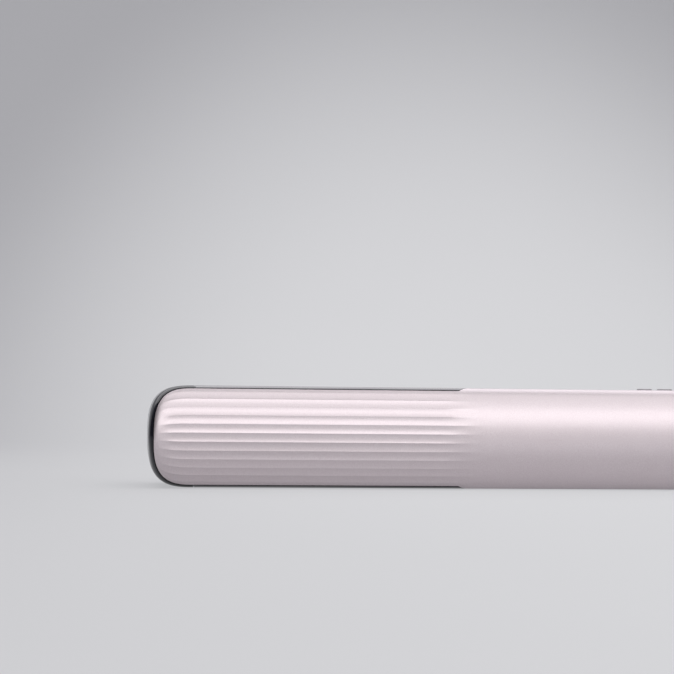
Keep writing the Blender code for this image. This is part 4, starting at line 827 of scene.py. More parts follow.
def fluted_shell():
    """Fluted crown over the head and smooth channel over the handle, with a closed wall."""
    shell = carving_tree().grow(
        shell_blank(), FINISHES["pearl_shell"],
        Pitch=FLUTE_PITCH, Depth=FLUTE_DEPTH, Count=float(FLUTE_COUNT),
        Start=TIP + FLUTE_START, Full=TIP + FLUTE_FULL, Fade=TIP + FLUTE_FADE, End=TIP + FLUTE_END,
    )
    outline = plan_outline(SHELL_TIP_INSET, SHELL_SIDE_INSET, HEAD_LENGTH + SKIRT_DROP)
    head = depth_prism("head_limits", outline, SKIRT_DROP - SHOULDER, -FAR)
    handle_outline = [(slant(0), 0), (slant(FAR), -FAR), (OVERALL_LENGTH, -FAR), (OVERALL_LENGTH, 0)]
    handle = cross_prism("handle_limits", handle_outline, -HALF_WIDTH - OVERRUN, HALF_WIDTH + OVERRUN)
    common(shell, join(head, handle))
    tip_inset, side_inset = SHELL_TIP_INSET + SHELL_WALL, SHELL_SIDE_INSET + SHELL_WALL
    stations = [tip_inset + (TIP_LENGTH - tip_inset) * share for share in nose_shares(16)]
    stations.append(ARM_LENGTH + OVERRUN)
    hollow = loft("hollow", [plain_ring(s, tip_inset, side_inset, SHELL_WALL, -OVERRUN) for s in stations])
    inside = HALF_WIDTH - SHELL_WALL
    channel = block(
        "channel", (slant(INNER) + CLEARANCE, ARM_LENGTH + OVERRUN), (-SHOULDER, OVERRUN), (-inside, inside)
    )
    return cut(shell, hollow, channel, stream_sign())


def stream_sign():
    """Three short grooves on the handle's crown, the sign for the air stream."""
    grooves = []
    for length, across in SIGN_STROKES:
        crown = SHOULDER + CROWN_DEPTH * math.sqrt(1 - (across / HALF_WIDTH) ** 2)
        outline = rounded_box((SIGN_PLACE, across), length, SIGN_WIDTH, SIGN_WIDTH / 2, 4)
        grooves.append(depth_prism("groove", outline, SIGN_DEPTH - crown, -FAR))
    return group("stream_sign", grooves)


def control_openings():
    """Solids that cut the display's window and the buttons' holes into the front shell."""
    span = (HALF_WIDTH - SHELL_WALL - OVERRUN, HALF_WIDTH + OVERRUN)
    lens_low, lens_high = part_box("display_lens")
    middle = (lens_low + lens_high) / 2
    gap = 2 * (CLEARANCE - DISPLAY_FLANGE)
    size = lens_high - lens_low
    window = rounded_box((middle.x - TIP, middle.y), size.x + gap, size.y + gap, CONTROL_CORNER)
    openings = [cross_prism("display_window", window, *span)]
    for name in BUTTONS:
        along, radius = button_place(name)
        outline = rounded_box((along, CONTROL_DEPTH), *[2 * (radius + CLEARANCE)] * 2, radius + CLEARANCE, 12)
        openings.append(cross_prism(name + "_hole", outline, *span))
    return group("control_openings", openings)


def button_place(name):
    """Distance of a button from the tip, and its cap's radius."""
    first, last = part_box(name + "_button")
    return (first.x + last.x) / 2 - TIP, (last.x - first.x) / 2 - BUTTON_FLANGE


def tip_cap():
    """Dark glossy cap that wraps the arm's end, with the shell seated in it."""
    stations = sorted(
        {round(TIP_LENGTH * share, 6) for share in nose_shares(32)}
        | {round(DROP_LENGTH * share, 6) for share in nose_shares(20)}
    )
    cap = loft("tip_cap", [plain_ring(s, 0, 0, 0, INNER) for s in stations])
    outlines = [
        plan_outline(SHELL_TIP_INSET + inset, SHELL_SIDE_INSET + inset, TIP_LENGTH + OVERRUN)
        for inset in (-CLEARANCE, SHELL_WALL)
    ]
    seat = depth_prism("cap_seat", outlines[0], SKIRT_DROP - SHOULDER + CLEARANCE, -FAR)
    hollow = depth_prism("cap_hollow", outlines[1], -FACE_BACK, -SHOULDER)
    return softened(cut(cap, seat, hollow), FINE_EDGE, 2)


def side_frame():
    """Glossy channel round the head: lips beside the shell, walls, and the face with its windows."""
    lip = HALF_WIDTH - SHELL_SIDE_INSET + CLEARANCE
    wall = HALF_WIDTH - SHELL_SIDE_INSET - SHELL_WALL
    step = SHOULDER - SKIRT_DROP - CLEARANCE
    start_angle = math.asin(lip / HALF_WIDTH)
    half = [(-INNER, HALF_WIDTH)]
    for i in range(13):
        angle = math.pi / 2 - (math.pi / 2 - start_angle) * i / 12
        half.append((-SHOULDER - CROWN_DEPTH * math.cos(angle), HALF_WIDTH * math.sin(angle)))
    half += [(-step, lip), (-step, wall), (-FACE_BACK, wall)]
    outline = half + [(depth, -across) for depth, across in reversed(half)]
    made = along_prism("side_frame", outline, TIP_LENGTH + CLEARANCE, slant(0))
    end = [
        (slant(-OVERRUN) - CLEARANCE, OVERRUN),
        (slant(OUTER) - CLEARANCE, -OUTER),
        (slant(0) + FAR, -OUTER),
        (slant(0) + FAR, OVERRUN),
    ]
    cut(made, cross_prism("frame_end", end, -HALF_WIDTH - OVERRUN, HALF_WIDTH + OVERRUN))
    through = (-FACE_BACK - OVERRUN, OVERRUN)
    near = NOZZLE_HALF + RIB_WIDTH
    windows = []
    for floor, roof in ((-NOZZLE_HALF, NOZZLE_HALF), (near, near + BAR_WIDTH), (-near - BAR_WIDTH, -near)):
        windows.append(block("window", (WINDOW_START, WINDOW_END), through, (floor, roof)))
    return softened(cut(made, group("windows", windows)), FINE_EDGE)


def row(tree, across=0.0, lean=0.0):
    """Copies of the tree's shape in a row at even steps, at a height and a lean."""
    pitch, count = tree.input("Pitch"), tree.input("Count")
    start = tree.add("ShaderNodeCombineXYZ", {}, {"X": pitch * (1 - count) / 2, "Z": across})
    step = tree.add("ShaderNodeCombineXYZ", {}, {"X": pitch})
    sockets = {"Count": count, "Start Location": start, "Offset": step}
    line = tree.add("GeometryNodeMeshLine", {"mode": "OFFSET"}, sockets)
    turn = tree.add("ShaderNodeCombineXYZ", {}, {"Y": lean})
    sockets = {"Points": line, "Instance": tree.input("Geometry"), "Rotation": turn}
    return tree.add("GeometryNodeInstanceOnPoints", {}, sockets)


def slot_rows_tree():
    """Two rows of slots at even steps, leaning towards each other."""
    tree = Growth("nozzle_slots", {"Count": int, "Pitch": float, "Row": float, "Lean": float})
    rows = tree.add("GeometryNodeJoinGeometry")
    for side in (-1, 1):
        slots = row(tree, tree.input("Row") * side, tree.input("Lean") * -side)
        tree.nodes.links.new(slots.socket, rows.socket.node.inputs[0])
    return tree.end(rows)


def nozzle():
    """Air outlet plate with two rows of slanting slots, its edges rounded."""
    half = NOZZLE_HALF - CLEARANCE
    window = (WINDOW_START + CLEARANCE, WINDOW_END - CLEARANCE)
    made = block("nozzle", window, (-FACE_BACK - OVERRUN, -INNER - NOZZLE_RECESS), (-half, half))
    wide = NOZZLE_HALF + NOZZLE_FLANGE
    back = FACE_BACK + CLEARANCE
    flange_span = (WINDOW_START - NOZZLE_FLANGE, WINDOW_END + NOZZLE_FLANGE)
    join(made, block("nozzle_flange", flange_span, (-back - NOZZLE_BACK, -back), (-wide, wide)))
    outline = rounded_box((0, 0), SLOT_LENGTH, SLOT_WIDTH, SLOT_WIDTH / 2)
    points = [Vector((x, -OVERRUN, z)) for x, z in outline]
    slot = prism("slot", points, Vector((0, back + NOZZLE_BACK + 3 * OVERRUN, 0)))
    slots = slot_rows_tree().grow(
        slot, FINISHES["dark_matte"], Count=int((WINDOW_END - WINDOW_START) / SLOT_PITCH),
        Pitch=SLOT_PITCH, Row=SLOT_ROW, Lean=math.radians(SLOT_LEAN),
    )
    middle = place((WINDOW_START + WINDOW_END) / 2, -back - NOZZLE_BACK - OVERRUN, 0)
    slots.data.transform(Matrix.Translation(middle))
    return softened(cut(made, slots), FINE_EDGE, 2)


def tension_bar(side):
    """Crowned aluminium bar, a little proud of the inner face."""
    near = NOZZLE_HALF + RIB_WIDTH
    middle = side * (near + BAR_WIDTH / 2)
    half = BAR_WIDTH / 2 - CLEARANCE
    back = FACE_BACK + CLEARANCE
    rim = half + CLEARANCE + BAR_FLANGE
    crown = []
    for step in range(17):
        share = step / 8 - 1
        crown.append((-INNER + BAR_PROUD * (1 - share**2), middle + half * share))
    outline = crown + [
        (-back, middle + half), (-back, middle + rim), (-back - BAR_BACK, middle + rim),
        (-back - BAR_BACK, middle - rim), (-back, middle - rim), (-back, middle - half),
    ]
    bar = along_prism("tension_bar", outline, WINDOW_START + CLEARANCE, WINDOW_END - CLEARANCE)
    return softened(bar, SOFT_EDGE, 4, 60)


def body_ring(along, inset, steps=CROWN_STEPS):
    """The base's section: both arms' crowns joined by straight sides, inset."""
    half, depth = HALF_WIDTH - inset, CROWN_DEPTH - inset
    ring = []
    for side in (-1, 1):
        for step in range(steps + 1):
            angle = math.pi * (step / steps - 1 / 2)
            bulge, across = depth * math.cos(angle), half * math.sin(angle)
            ring.append(place(along, side * (SHOULDER + bulge), -side * across))
    return ring


def rounded_rim(start, end, radius, steps=5):
    """Sections of the base from end to end, with rounded rims."""
    rings = [
        (start + radius * (1 - math.cos(angle)), radius * (1 - math.sin(angle)))
        for angle in quarter_turn(steps)
    ]
    rings += [(start + end - along, inset) for along, inset in reversed(rings)]
    return [body_ring(along, inset) for along, inset in rings]


def base_housing():
    """Tube of the blower base with rounded rims and the lock knob's slot."""
    housing = loft("base_housing", rounded_rim(HOUSING_START, HOUSING_END, SOFT_EDGE))
    ends = (HOUSING_START - OVERRUN, HOUSING_END + OVERRUN)
    cut(housing, loft("housing_hollow", [body_ring(s, HOUSING_WALL) for s in ends]))
    knob_low, knob_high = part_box("lock_knob")
    middle = (knob_low.x + knob_high.x) / 2 - TIP
    length = KNOB_STEM + LOCK_TRAVEL + 2 * CLEARANCE
    slot = rounded_box((middle - LOCK_TRAVEL / 2, 0), length, SLOT_ACROSS, SLOT_ACROSS / 3)
    return cut(housing, cross_prism("knob_slot", slot, 0, FAR))


def gap_seal():
    """Rubber lip on the base that closes the gap behind the arms and gives way to their opening."""
    front = ARM_LENGTH + CLEARANCE
    back = HOUSING_START + BULKHEAD_SETBACK + SEAL_ROOT
    lip = loft("gap_seal", [body_ring(s, SEAL_INSET) for s in (front, back)])
    hollow = [body_ring(s, SEAL_INSET + SEAL_WALL) for s in (front - OVERRUN, back + OVERRUN)]
    fall = math.tan(math.radians(SEAL_SLOPE))
    reliefs = []
    for side in (-1, 1):
        near, far = HINGE_OFFSET - SEAL_WALL, OUTER + OVERRUN
        outline = [
            (front - OVERRUN, side * near), (front, side * near), (front + (far - near) * fall, side * far),
            (front - OVERRUN, side * far),
        ]
        reliefs.append(cross_prism("seal_relief", outline, -HALF_WIDTH - OVERRUN, HALF_WIDTH + OVERRUN))
    notch = block("lock_notch", (front - OVERRUN, back + OVERRUN), (-SEAL_NOTCH, SEAL_NOTCH), (0, FAR))
    cut(lip, loft("seal_hollow", hollow), group("seal_reliefs", [*reliefs, notch]))
    return softened(lip, FINE_EDGE, 2)


def lock_knob():
    """Thumb slide with a rounded body, its stem and rounded grip ridges."""
    first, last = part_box("lock_knob")
    middle = (first + last) / 2 - Vector((TIP, 0, MIDDLE))
    size = last - first
    top = last.z - MIDDLE - KNOB_RIDGE_HEIGHT
    bottom = top - KNOB_HEIGHT
    outline = rounded_box((middle.x, 0), size.x, size.y, KNOB_HEIGHT)
    knob = softened(cross_prism("knob", outline, bottom, top), KNOB_EDGE, 4)
    half = KNOB_STEM * 0.4
    stem_span = (middle.x - KNOB_STEM / 2, middle.x + KNOB_STEM / 2)
    join(knob, block("stem", stem_span, (-half, half), (first.z - MIDDLE, bottom + CLEARANCE)))
    pitch = size.x / (KNOB_RIDGES + 3)
    reach = size.y / 2 - KNOB_HEIGHT
    profile = rounded_box((0, 0), pitch / 2, 4 * KNOB_RIDGE_HEIGHT, pitch / 4, 4)
    ridge = prism("ridge", [Vector((x, -reach, z)) for x, z in profile], Vector((0, 2 * reach, 0)))
    tree = Growth("grip_ridges", {"Count": int, "Pitch": float})
    ridges = tree.end(row(tree)).grow(ridge, FINISHES["button_grey"], Count=KNOB_RIDGES, Pitch=pitch)
    ridges.data.transform(Matrix.Translation(place(middle.x, 0, top - KNOB_RIDGE_HEIGHT)))
    return join(knob, softened(ridges, RIDGE_EDGE, 2))


def cage_slots_tree():
    """Slots at even steps along the cage's section, each one square to the wall."""
    tree = Growth("cage_slots", {"Count": int, "Path": "NodeSocketObject"})
    path = tree.add("GeometryNodeObjectInfo", {}, {"Object": tree.input("Path")}).also("Geometry")
    curve = tree.add("GeometryNodeMeshToCurve", {}, {"Mesh": path})
    index = tree.add("GeometryNodeInputIndex")
    share = (index + 0.5) / tree.input("Count")
    at = tree.add("GeometryNodeSampleCurve", {"mode": "FACTOR"}, {"Curves": curve, "Factor": share})
    line = tree.add("GeometryNodeMeshLine", {}, {"Count": tree.input("Count")})
    points = tree.add("GeometryNodeSetPosition", {}, {"Geometry": line, "Position": at.also("Position")})
    axes = {"axis": "Z", "pivot_axis": "X"}
    turn = tree.add("FunctionNodeAlignRotationToVector", axes, {"Vector": at.also("Tangent")})
    sockets = {"Points": points, "Instance": tree.input("Geometry"), "Rotation": turn}
    return tree.end(tree.add("GeometryNodeInstanceOnPoints", {}, sockets))


def section_path(inset):
    """The base's section as a closed line."""
    bm = bmesh.new()
    verts = [bm.verts.new(point) for point in body_ring(0, inset)]
    for i, vert in enumerate(verts):
        bm.edges.new((verts[i - 1], vert))
    return mesh_object("section_path", bm)


def cage_rings(inset, start, end):
    """Sections of the cage, rounding over towards its end."""
    rings = [body_ring(start, inset)]
    for angle in quarter_turn(12):
        drop = CAGE_ROUND_INSET * (1 - math.cos(angle))
        rings.append(body_ring(end - CAGE_ROUND * (1 - math.sin(angle)), inset + drop))
    return rings


def filter_cage():
    """Slotted cage that pulls off the base's end."""
    cage = loft("filter_cage", cage_rings(0, CAGE_START, OVERALL_LENGTH))
    hollow = loft("cage_hollow", cage_rings(CAGE_WALL, CAGE_START - OVERRUN, OVERALL_LENGTH - CAGE_WALL))
    near, far = OVERALL_LENGTH - CAGE_WALL - OVERRUN, OVERALL_LENGTH + OVERRUN
    profile = ((0, near), (CAGE_HOLE_RADIUS, near), (CAGE_HOLE_RADIUS, far), (0, far))
    turn = Matrix.Rotation(math.pi / 2, 4, "Y")
    hole = turned("cage_hole", profile, Matrix.Translation(place(0, 0, 0)) @ turn)
    outline = rounded_box((0, 0), CAGE_SLOT_LENGTH, CAGE_SLOT_WIDTH, CAGE_SLOT_WIDTH / 2, 5)
    slot = prism("slot", [Vector((x, -CAGE_WALL, z)) for x, z in outline], Vector((0, 2 * CAGE_WALL, 0)))
    slots = cage_slots_tree().grow(
        slot, FINISHES["cage_metal"], Count=CAGE_SLOTS, Path=section_path(CAGE_WALL / 2)
    )
    middle = CAGE_START + CAGE_SLOT_SETBACK + CAGE_SLOT_LENGTH / 2
    slots.data.transform(Matrix.Translation(Vector((middle, 0, 0))))
    cut(cage, hollow, hole, slots)
    return softened(cage, METAL_EDGE, 2, 50)


def fine_filter():
    """Woven sleeve under the cage, with each point's place round the sleeve."""
    start, end = low("fine_filter", X) - TIP, high("fine_filter", X) - TIP
    outer = [body_ring(s, FILTER_INSET) for s in (start, end)]
    inner = [body_ring(s, FILTER_INSET + FILTER_WALL) for s in (end, start)]
    sleeve = loft("fine_filter_sleeve", outer + inner, annular=True)
    steps = [(b - a).length for a, b in zip(outer[0], outer[0][1:])]
    reach = list(np.concatenate(([0], np.cumsum(steps))))
    sleeve.data.attributes.new("round", "FLOAT", "POINT").data.foreach_set("value", reach * 4)
    return sleeve


def button(name):
    """Round push button: a dished face in a rounded rim, and the flange that keeps it in."""
    along, radius = button_place(name)
    first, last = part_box(name + "_button")
    top, bottom = last.z - MIDDLE, first.z - MIDDLE
    under = HALF_WIDTH - SHELL_WALL - CLEARANCE
    face, wide = radius - BUTTON_RIM, radius + BUTTON_FLANGE
    profile = [(face * step / 8, top - BUTTON_DISH * (1 - (step / 8) ** 2)) for step in range(9)]
    for angle in quarter_turn(6)[1:]:
        drop = BUTTON_RIM * (1 - math.cos(angle))
        profile.append((face + BUTTON_RIM * math.sin(angle), top - drop))
    profile += [(radius, under), (wide, under), (wide, bottom), (0, bottom)]
    return turned(name, profile, Matrix.Translation(place(along, CONTROL_DEPTH, 0)))


def button_mark(name):
    """The generic sign on a button's face: plus, minus, three air streams, or a ring with a bar."""
    along, radius = button_place(name)
    reach = radius * 0.42
    half = MARK_WIDTH / 2
    floor = high(name + "_button", Z) - MIDDLE - BUTTON_DISH - MARK_RAISE
    levels = (floor, floor + 3 * MARK_RAISE)

    def stroke(along_half, depth_half, along_shift=0, depth_shift=0):
        center = (along + along_shift, CONTROL_DEPTH + depth_shift)
        outline = rounded_box(center, 2 * along_half, 2 * depth_half, half, 4)
        return cross_prism("stroke", outline, *levels)

    if name == "heat_down":
        return stroke(reach, half)
    if name == "heat_up":
        return join(stroke(reach, half), stroke(half, reach))
    if name == "mode":
        gap = reach * 0.6
        streams = [stroke(reach, half, 0, -gap), stroke(reach * 0.7, half), stroke(reach, half, 0, gap)]
        return group("streams", streams)
    span = (levels[0] - OVERRUN, levels[1] + OVERRUN)
    ring, hole = [
        cross_prism("disc", rounded_box((along, CONTROL_DEPTH), 2 * radius, 2 * radius, radius, 16), *limits)
        for radius, limits in ((reach, levels), (reach - MARK_WIDTH, span))
    ]
    gap = block("gap", (along - reach, along), (CONTROL_DEPTH - reach / 2, CONTROL_DEPTH + reach / 2), span)
    cut(ring, hole, gap)
    return group("power_sign", [ring, stroke(reach * 0.45, half, -reach * 0.6)])


def display_lens():
    """Display window with rounded edges, flush with the shell."""
    first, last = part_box("display_lens")
    middle = (first + last) / 2
    center = (middle.x - TIP, middle.y)
    size = last - first
    under = HALF_WIDTH - SHELL_WALL - CLEARANCE
    shown = (size.x - 2 * DISPLAY_FLANGE, size.y - 2 * DISPLAY_FLANGE)
    lens = cross_prism("lens", rounded_box(center, *shown, CONTROL_CORNER), under - CLEARANCE, HALF_WIDTH)
    flange = rounded_box(center, size.x, size.y, CONTROL_CORNER)
    join(lens, cross_prism("lens_flange", flange, first.z - MIDDLE, under))
    return softened(lens, LENS_EDGE, 3)


def screw_prototype():
    """A pan-head screw along Z with a cross recess, its head's top at 0."""
    profile = [(0, 0)]
    bulge = SCREW_HEAD_HEIGHT * 0.6
    for angle in quarter_turn(6):
        radius = SCREW_HEAD_RADIUS - bulge * (1 - math.sin(angle))
        profile.append((radius, -bulge * (1 - math.cos(angle))))
    profile += [
        (SCREW_HEAD_RADIUS, -SCREW_HEAD_HEIGHT), (SCREW_RADIUS, -SCREW_HEAD_HEIGHT),
        (SCREW_RADIUS, -SCREW_LENGTH + SCREW_RADIUS / 2), (SCREW_RADIUS / 2, -SCREW_LENGTH),
        (0, -SCREW_LENGTH),
    ]
    screw = turned("screw", profile, Matrix())
    for size in ((RECESS_LENGTH, RECESS_WIDTH), (RECESS_WIDTH, RECESS_LENGTH)):
        bm = bmesh.new()
        matrix = Matrix.LocRotScale(None, None, Vector((*size, 2 * RECESS_DEPTH)))
        bmesh.ops.create_cube(bm, size=1, matrix=matrix)
        cut(screw, mesh_object("recess", bm))
    return screw


def screw_tree():
    """A screw on each point of a set, all turned alike."""
    tree = Growth("set_screws", {"Screw": "NodeSocketObject", "Turn": "NodeSocketRotation"})
    screw = tree.add("GeometryNodeObjectInfo", {}, {"Object": tree.input("Screw")}).also("Geometry")
    sockets = {"Points": tree.input("Geometry"), "Instance": screw, "Rotation": tree.input("Turn")}
    return tree.end(tree.add("GeometryNodeInstanceOnPoints", {}, sockets))


def screws(nodes, turn, axis, corner):
    """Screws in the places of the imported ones, whose heads' tops are a box corner's place on an axis."""
    bm = bmesh.new()
    for node in nodes:
        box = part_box(node)
        point = (box[0] + box[1]) / 2
        point[axis] = box[corner][axis]
        bm.verts.new(point)
    points = mesh_object("screw_points", bm)
    return screw_tree().grow(points, FINISHES["steel"], Screw=SCREW, Turn=turn)


def opening_spring(side):
    """Torsion spring of round wire about the hinge pin, with its two legs."""
    first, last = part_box("front_hinge_spring")
    height = SPRING_PITCH * SPRING_TURNS
    start_along = last.x - TIP - SPRING_WIRE
    points = [place(start_along, side * (HINGE_OFFSET + SPRING_RADIUS), -height / 2)]
    count = SPRING_TURNS * SPRING_FACETS
    for i in range(count + 1):
        angle = -math.pi / 2 + 2 * math.pi * i / SPRING_FACETS
        along = HINGE_PLACE - SPRING_RADIUS * math.cos(angle)
        depth = HINGE_OFFSET - SPRING_RADIUS * math.sin(angle)
        points.append(place(along, side * depth, height * (i / count - 1 / 2)))
    leg_depth = -first.y - SPRING_WIRE
    points.append(place(HINGE_PLACE - SPRING_REACH, side * leg_depth, height / 2))
    curve = bpy.data.curves.new("spring", "CURVE")
    curve.dimensions = "3D"
    curve.bevel_depth = SPRING_WIRE
    curve.bevel_resolution = 4
    curve.use_fill_caps = True
    spline = curve.splines.new("POLY")
    spline.points.add(len(points) - 1)
    for knot, point in zip(spline.points, points):
        knot.co = (*point, 1)
    wire = bpy.data.objects.new("spring", curve)
    DRAFTS.objects.link(wire)
    bm = opened(evaluated_mesh(wire))
    bpy.data.objects.remove(wire)
    bmesh.ops.remove_doubles(bm, verts=bm.verts, dist=SAME_PLACE / 2)
    return mesh_object("spring", bm)


def cable_gland():
    """Rubber bush with grip rings at its mouth, which a cord would pass through."""
    first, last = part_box("cable_gland")
    start, end = first.x - TIP, last.x - TIP
    wide = (last.z - first.z) / 2
    tube = wide - GLAND_STEP
    profile = [
        (GLAND_BORE, start), (tube, start), (tube, end - GLAND_FLANGE), (wide, end - GLAND_FLANGE)
    ]
    for angle in quarter_turn(6):
        inward, back = GLAND_ROUND * (1 - math.cos(angle)), GLAND_ROUND * (1 - math.sin(angle))
        profile.append((wide - inward, end - back))
    band = wide - GLAND_ROUND - GLAND_BORE
    for ring in range(GLAND_RINGS):
        middle = wide - GLAND_ROUND - band * (ring + 0.5) / GLAND_RINGS
        half = band / 8
        profile += [(middle + half, end), (middle, end - half), (middle - half, end)]
    profile += [(GLAND_BORE + GLAND_ROUND, end), (GLAND_BORE, end - GLAND_ROUND)]
    turns = [2 * math.pi * i / ROUND_FACETS for i in range(ROUND_FACETS)]
    rings = [
        [place(along, radius * math.cos(t), radius * math.sin(t)) for t in turns]
        for radius, along in profile
    ]
    return loft("gland", rings, annular=True)


def soft_lamp(name, location, size, power, tint, aim_height):
    """Rectangular lamp aimed at a height over the object."""
    data = bpy.data.lights.new(name, "AREA")
    data.shape = "RECTANGLE"
    data.size, data.size_y = size
    data.energy = power
    data.color = tint
    lamp = bpy.data.objects.new(name, data)
    lamp.location = location
    target = Vector((location[0] / 2, 0, MIDDLE + aim_height))
    lamp.rotation_euler = (target - lamp.location).to_track_quat("-Z", "Y").to_euler()
    bpy.context.scene.collection.objects.link(lamp)


def backdrop():
    """Floor that curves up behind the object into a plain pale wall."""
    level = -CLEARANCE
    start = BACKDROP_BACK - BACKDROP_BEND
    profile = [(BACKDROP_FRONT, level), (start, level)]
    for angle in quarter_turn(16)[1:]:
        rise = BACKDROP_BEND * (1 - math.cos(angle))
        profile.append((start + BACKDROP_BEND * math.sin(angle), level + rise))
    profile.append((BACKDROP_BACK, BACKDROP_TOP))
    bm = bmesh.new()
    sides = [
        [bm.verts.new((x, y, z)) for y, z in profile] for x in (-BACKDROP_WIDTH / 2, BACKDROP_WIDTH / 2)
    ]
    for i in range(len(profile) - 1):
        bm.faces.new((sides[0][i], sides[1][i], sides[1][i + 1], sides[0][i + 1]))
    mesh = bpy.data.meshes.new("backdrop")
    bm.to_mesh(mesh)
    bm.free()
    mesh.shade_smooth()
    mesh.materials.append(backdrop_paper())
    made = bpy.data.objects.new("backdrop", mesh)
    bpy.context.scene.collection.objects.link(made)


def light_and_camera():
    """Lamps, air and the camera that sees what the photograph shows."""
    scene = bpy.context.scene
    scene.view_settings.view_transform = "Standard"
    world = bpy.data.worlds.new("studio")
    world.use_nodes = True
    air = world.node_tree.nodes["Background"]
    air.inputs["Color"].default_value = rgb(0.94, 0.945, 0.96)
    strength = world.node_tree.nodes.new("ShaderNodeMath")
    strength.operation = "MULTIPLY_ADD"
    strength.inputs[1].default_value = AIR_SEEN
    strength.inputs[2].default_value = AIR_LIGHT
    rays = world.node_tree.nodes.new("ShaderNodeLightPath")
    world.node_tree.links.new(rays.outputs["Is Camera Ray"], strength.inputs[0])
    world.node_tree.links.new(strength.outputs[0], air.inputs["Strength"])
    scene.world = world
    for name, lamp in LAMPS.items():
        soft_lamp(name, *lamp)
    data = bpy.data.cameras.new("camera")
    data.lens = CAMERA_LENS
    camera = bpy.data.objects.new("camera", data)
    scene.collection.objects.link(camera)
    yaw, pitch, roll = map(math.radians, (CAMERA_YAW, CAMERA_PITCH, CAMERA_ROLL))
    turns = Matrix.Rotation(-yaw, 4, "Z") @ Matrix.Rotation(math.pi / 2 + pitch, 4, "X")
    camera.matrix_world = Matrix.Translation(CAMERA_PLACE) @ turns @ Matrix.Rotation(roll, 4, "Z")
    scene.camera = camera


FINISHES = {
    "pearl_shell": pearl_shell(),
    "black_gloss": gloss(
        "black_gloss_plastic", rgb(0.010, 0.010, 0.016), rgb(0.018, 0.018, 0.028), 0.08, 0.0, 1.45
    ),
    "dark_gloss": gloss(
        "dark_gloss_plastic", rgb(0.032, 0.025, 0.040), rgb(0.052, 0.042, 0.066), 0.06, 0.8, 1.7
    ),
    "dark_matte": grained(
        "moulded_dark_plastic", (0.00030, 3.0), (0.0080, 2.0),
        (rgb(0.030, 0.030, 0.034), rgb(0.048, 0.047, 0.053)), 0.46, 0.18, 0.000020, IOR=1.48
    ),
    "bar_aluminium": grained(
        "brushed_aluminium", (0.00012, 3.0, (120, 1, 1)), (0.0100, 2.0),
        (rgb(0.70, 0.67, 0.68), rgb(0.80, 0.77, 0.78)), 0.20, 0.22, 0.000006, Metallic=1.0
    ),
    "steel": grained(
        "plated_steel", (0.0006, 4.0), None,
        (rgb(0.52, 0.52, 0.55), rgb(0.68, 0.68, 0.70)), 0.24, 0.18, 0.000005, Metallic=1.0
    ),
    "heater_board": grained(
        "mica_board", (0.0011, 4.0, (1, 1, 0.4)), None,
        (rgb(0.62, 0.55, 0.42), rgb(0.86, 0.82, 0.72)), 0.45, 0.30, 0.000030, IOR=1.56
    ),
    "circuit_board": circuit_board(),
    "button_grey": grained(
        "satin_button_paint", (0.00018, 2.0), None,
        (rgb(0.36, 0.33, 0.36), rgb(0.44, 0.41, 0.44)), 0.36, 0.12, 0.000006, Metallic=0.25
    ),
    "rubber": grained(
        "soft_black_rubber", (0.00040, 4.0), None,
        (rgb(0.014, 0.014, 0.015), rgb(0.034, 0.034, 0.036)), 0.68, 0.20, 0.000030, IOR=1.45
    ),
    "filter_mesh": filter_mesh(),
    "cage_metal": grained(
        "blasted_rose_metal", (0.00016, 2.0), (0.0100, 2.0),
        (rgb(0.58, 0.51, 0.54), rgb(0.66, 0.59, 0.62)), 0.30, 0.16, 0.000008, Metallic=0.85
    ),
}
SCREW = screw_prototype()

KEPT_NODES = {
    "control_board": "circuit_board", "main_board": "circuit_board",
    "fan_impeller": "dark_matte", "blower_motor": "steel", "motor_mount": "rubber",
}
REFINED_NODES = {
    "hinge_frame": ("dark_matte", "base"), "inlet_frame": ("dark_matte", "base"),
    "lock_blade": ("steel", "arm_lock"),
}
for arm in ("front", "rear"):
    KEPT_NODES[arm + "_air_duct"] = "dark_matte"
    KEPT_NODES[arm + "_heater"] = "heater_board"
    KEPT_NODES[arm + "_thermal_cutout"] = "steel"
    REFINED_NODES[arm + "_handle_frame"] = ("dark_matte", arm + "_arm")
    REFINED_NODES[arm + "_hinge_pin"] = ("steel", "base")


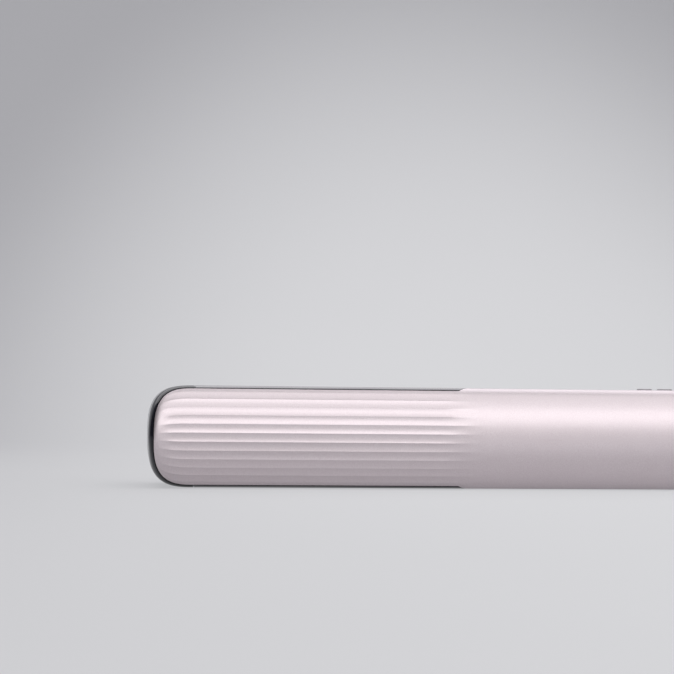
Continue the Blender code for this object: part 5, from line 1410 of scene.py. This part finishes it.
def dress():
    """Makes every piece and hands it to its body."""
    shell = fluted_shell()
    rear_shell = mirrored(shell)
    cut(shell, control_openings())
    show(shell, "front_fluted_shell", "pearl_shell", "front_arm", "front_shell", crease=24)
    show(rear_shell, "rear_fluted_shell", "pearl_shell", "rear_arm", "rear_shell", crease=24)
    show_both(tip_cap(), "polished_tip_cap", "black_gloss", "tip_cap")
    show_both(side_frame(), "polished_side_frame", "dark_gloss", "side_frame")
    show_both(nozzle(), "slotted_nozzle", "dark_matte", "nozzle")
    show_both(tension_bar(1), "brushed_upper_bar", "bar_aluminium", "upper_bar")
    show_both(tension_bar(-1), "brushed_lower_bar", "bar_aluminium", "lower_bar")
    show(base_housing(), "rounded_base_housing", "pearl_shell", "base", "base_housing")
    show(filter_cage(), "slotted_filter_cage", "cage_metal", "filter_cage", "filter_cage")
    show(fine_filter(), "woven_filter_sleeve", "filter_mesh", "base", "fine_filter", crease=60)
    show(lock_knob(), "ridged_lock_knob", "button_grey", "arm_lock", "lock_knob")
    show(display_lens(), "display_window", "black_gloss", "front_arm", "display_lens")
    for name in BUTTONS:
        show(button(name), name + "_dished_button", "button_grey", name, name + "_button")
        show(button_mark(name), name + "_sign", "dark_gloss", name)
    for arm, angle, corner in (("front", -math.pi / 2, 1), ("rear", math.pi / 2, 0)):
        nodes = [f"{arm}_screw_{number}" for number in (1, 2, 3)]
        made = screws(nodes, Matrix.Rotation(angle, 3, "X").to_euler(), Y, corner)
        show(made, arm + "_handle_screws", "steel", arm + "_arm", *nodes)
        made = opening_spring(-1 if arm == "front" else 1)
        show(made, arm + "_wound_spring", "steel", "base", arm + "_hinge_spring", crease=60)
    nodes = ("front_base_screw", "rear_base_screw")
    made = screws(nodes, Matrix.Rotation(math.pi / 2, 3, "Y").to_euler(), X, 1)
    show(made, "base_plate_screws", "steel", "base", *nodes)
    show(cable_gland(), "ringed_cable_gland", "rubber", "base", "cable_gland")
    show(gap_seal(), "hinge_gap_seal", "rubber", "base", crease=30)
    for node, (slot, body) in REFINED_NODES.items():
        show(softened(merged_copy(node), FINE_EDGE, 2), "rounded_" + node, slot, body, node)
    for node, slot in KEPT_NODES.items():
        kept = frame["nodes"][node]
        kept.data.materials.clear()
        kept.data.materials.append(FINISHES[slot])


dress()
for draft in list(DRAFTS.objects):
    bpy.data.objects.remove(draft)
bpy.data.collections.remove(DRAFTS)
backdrop()
light_and_camera()
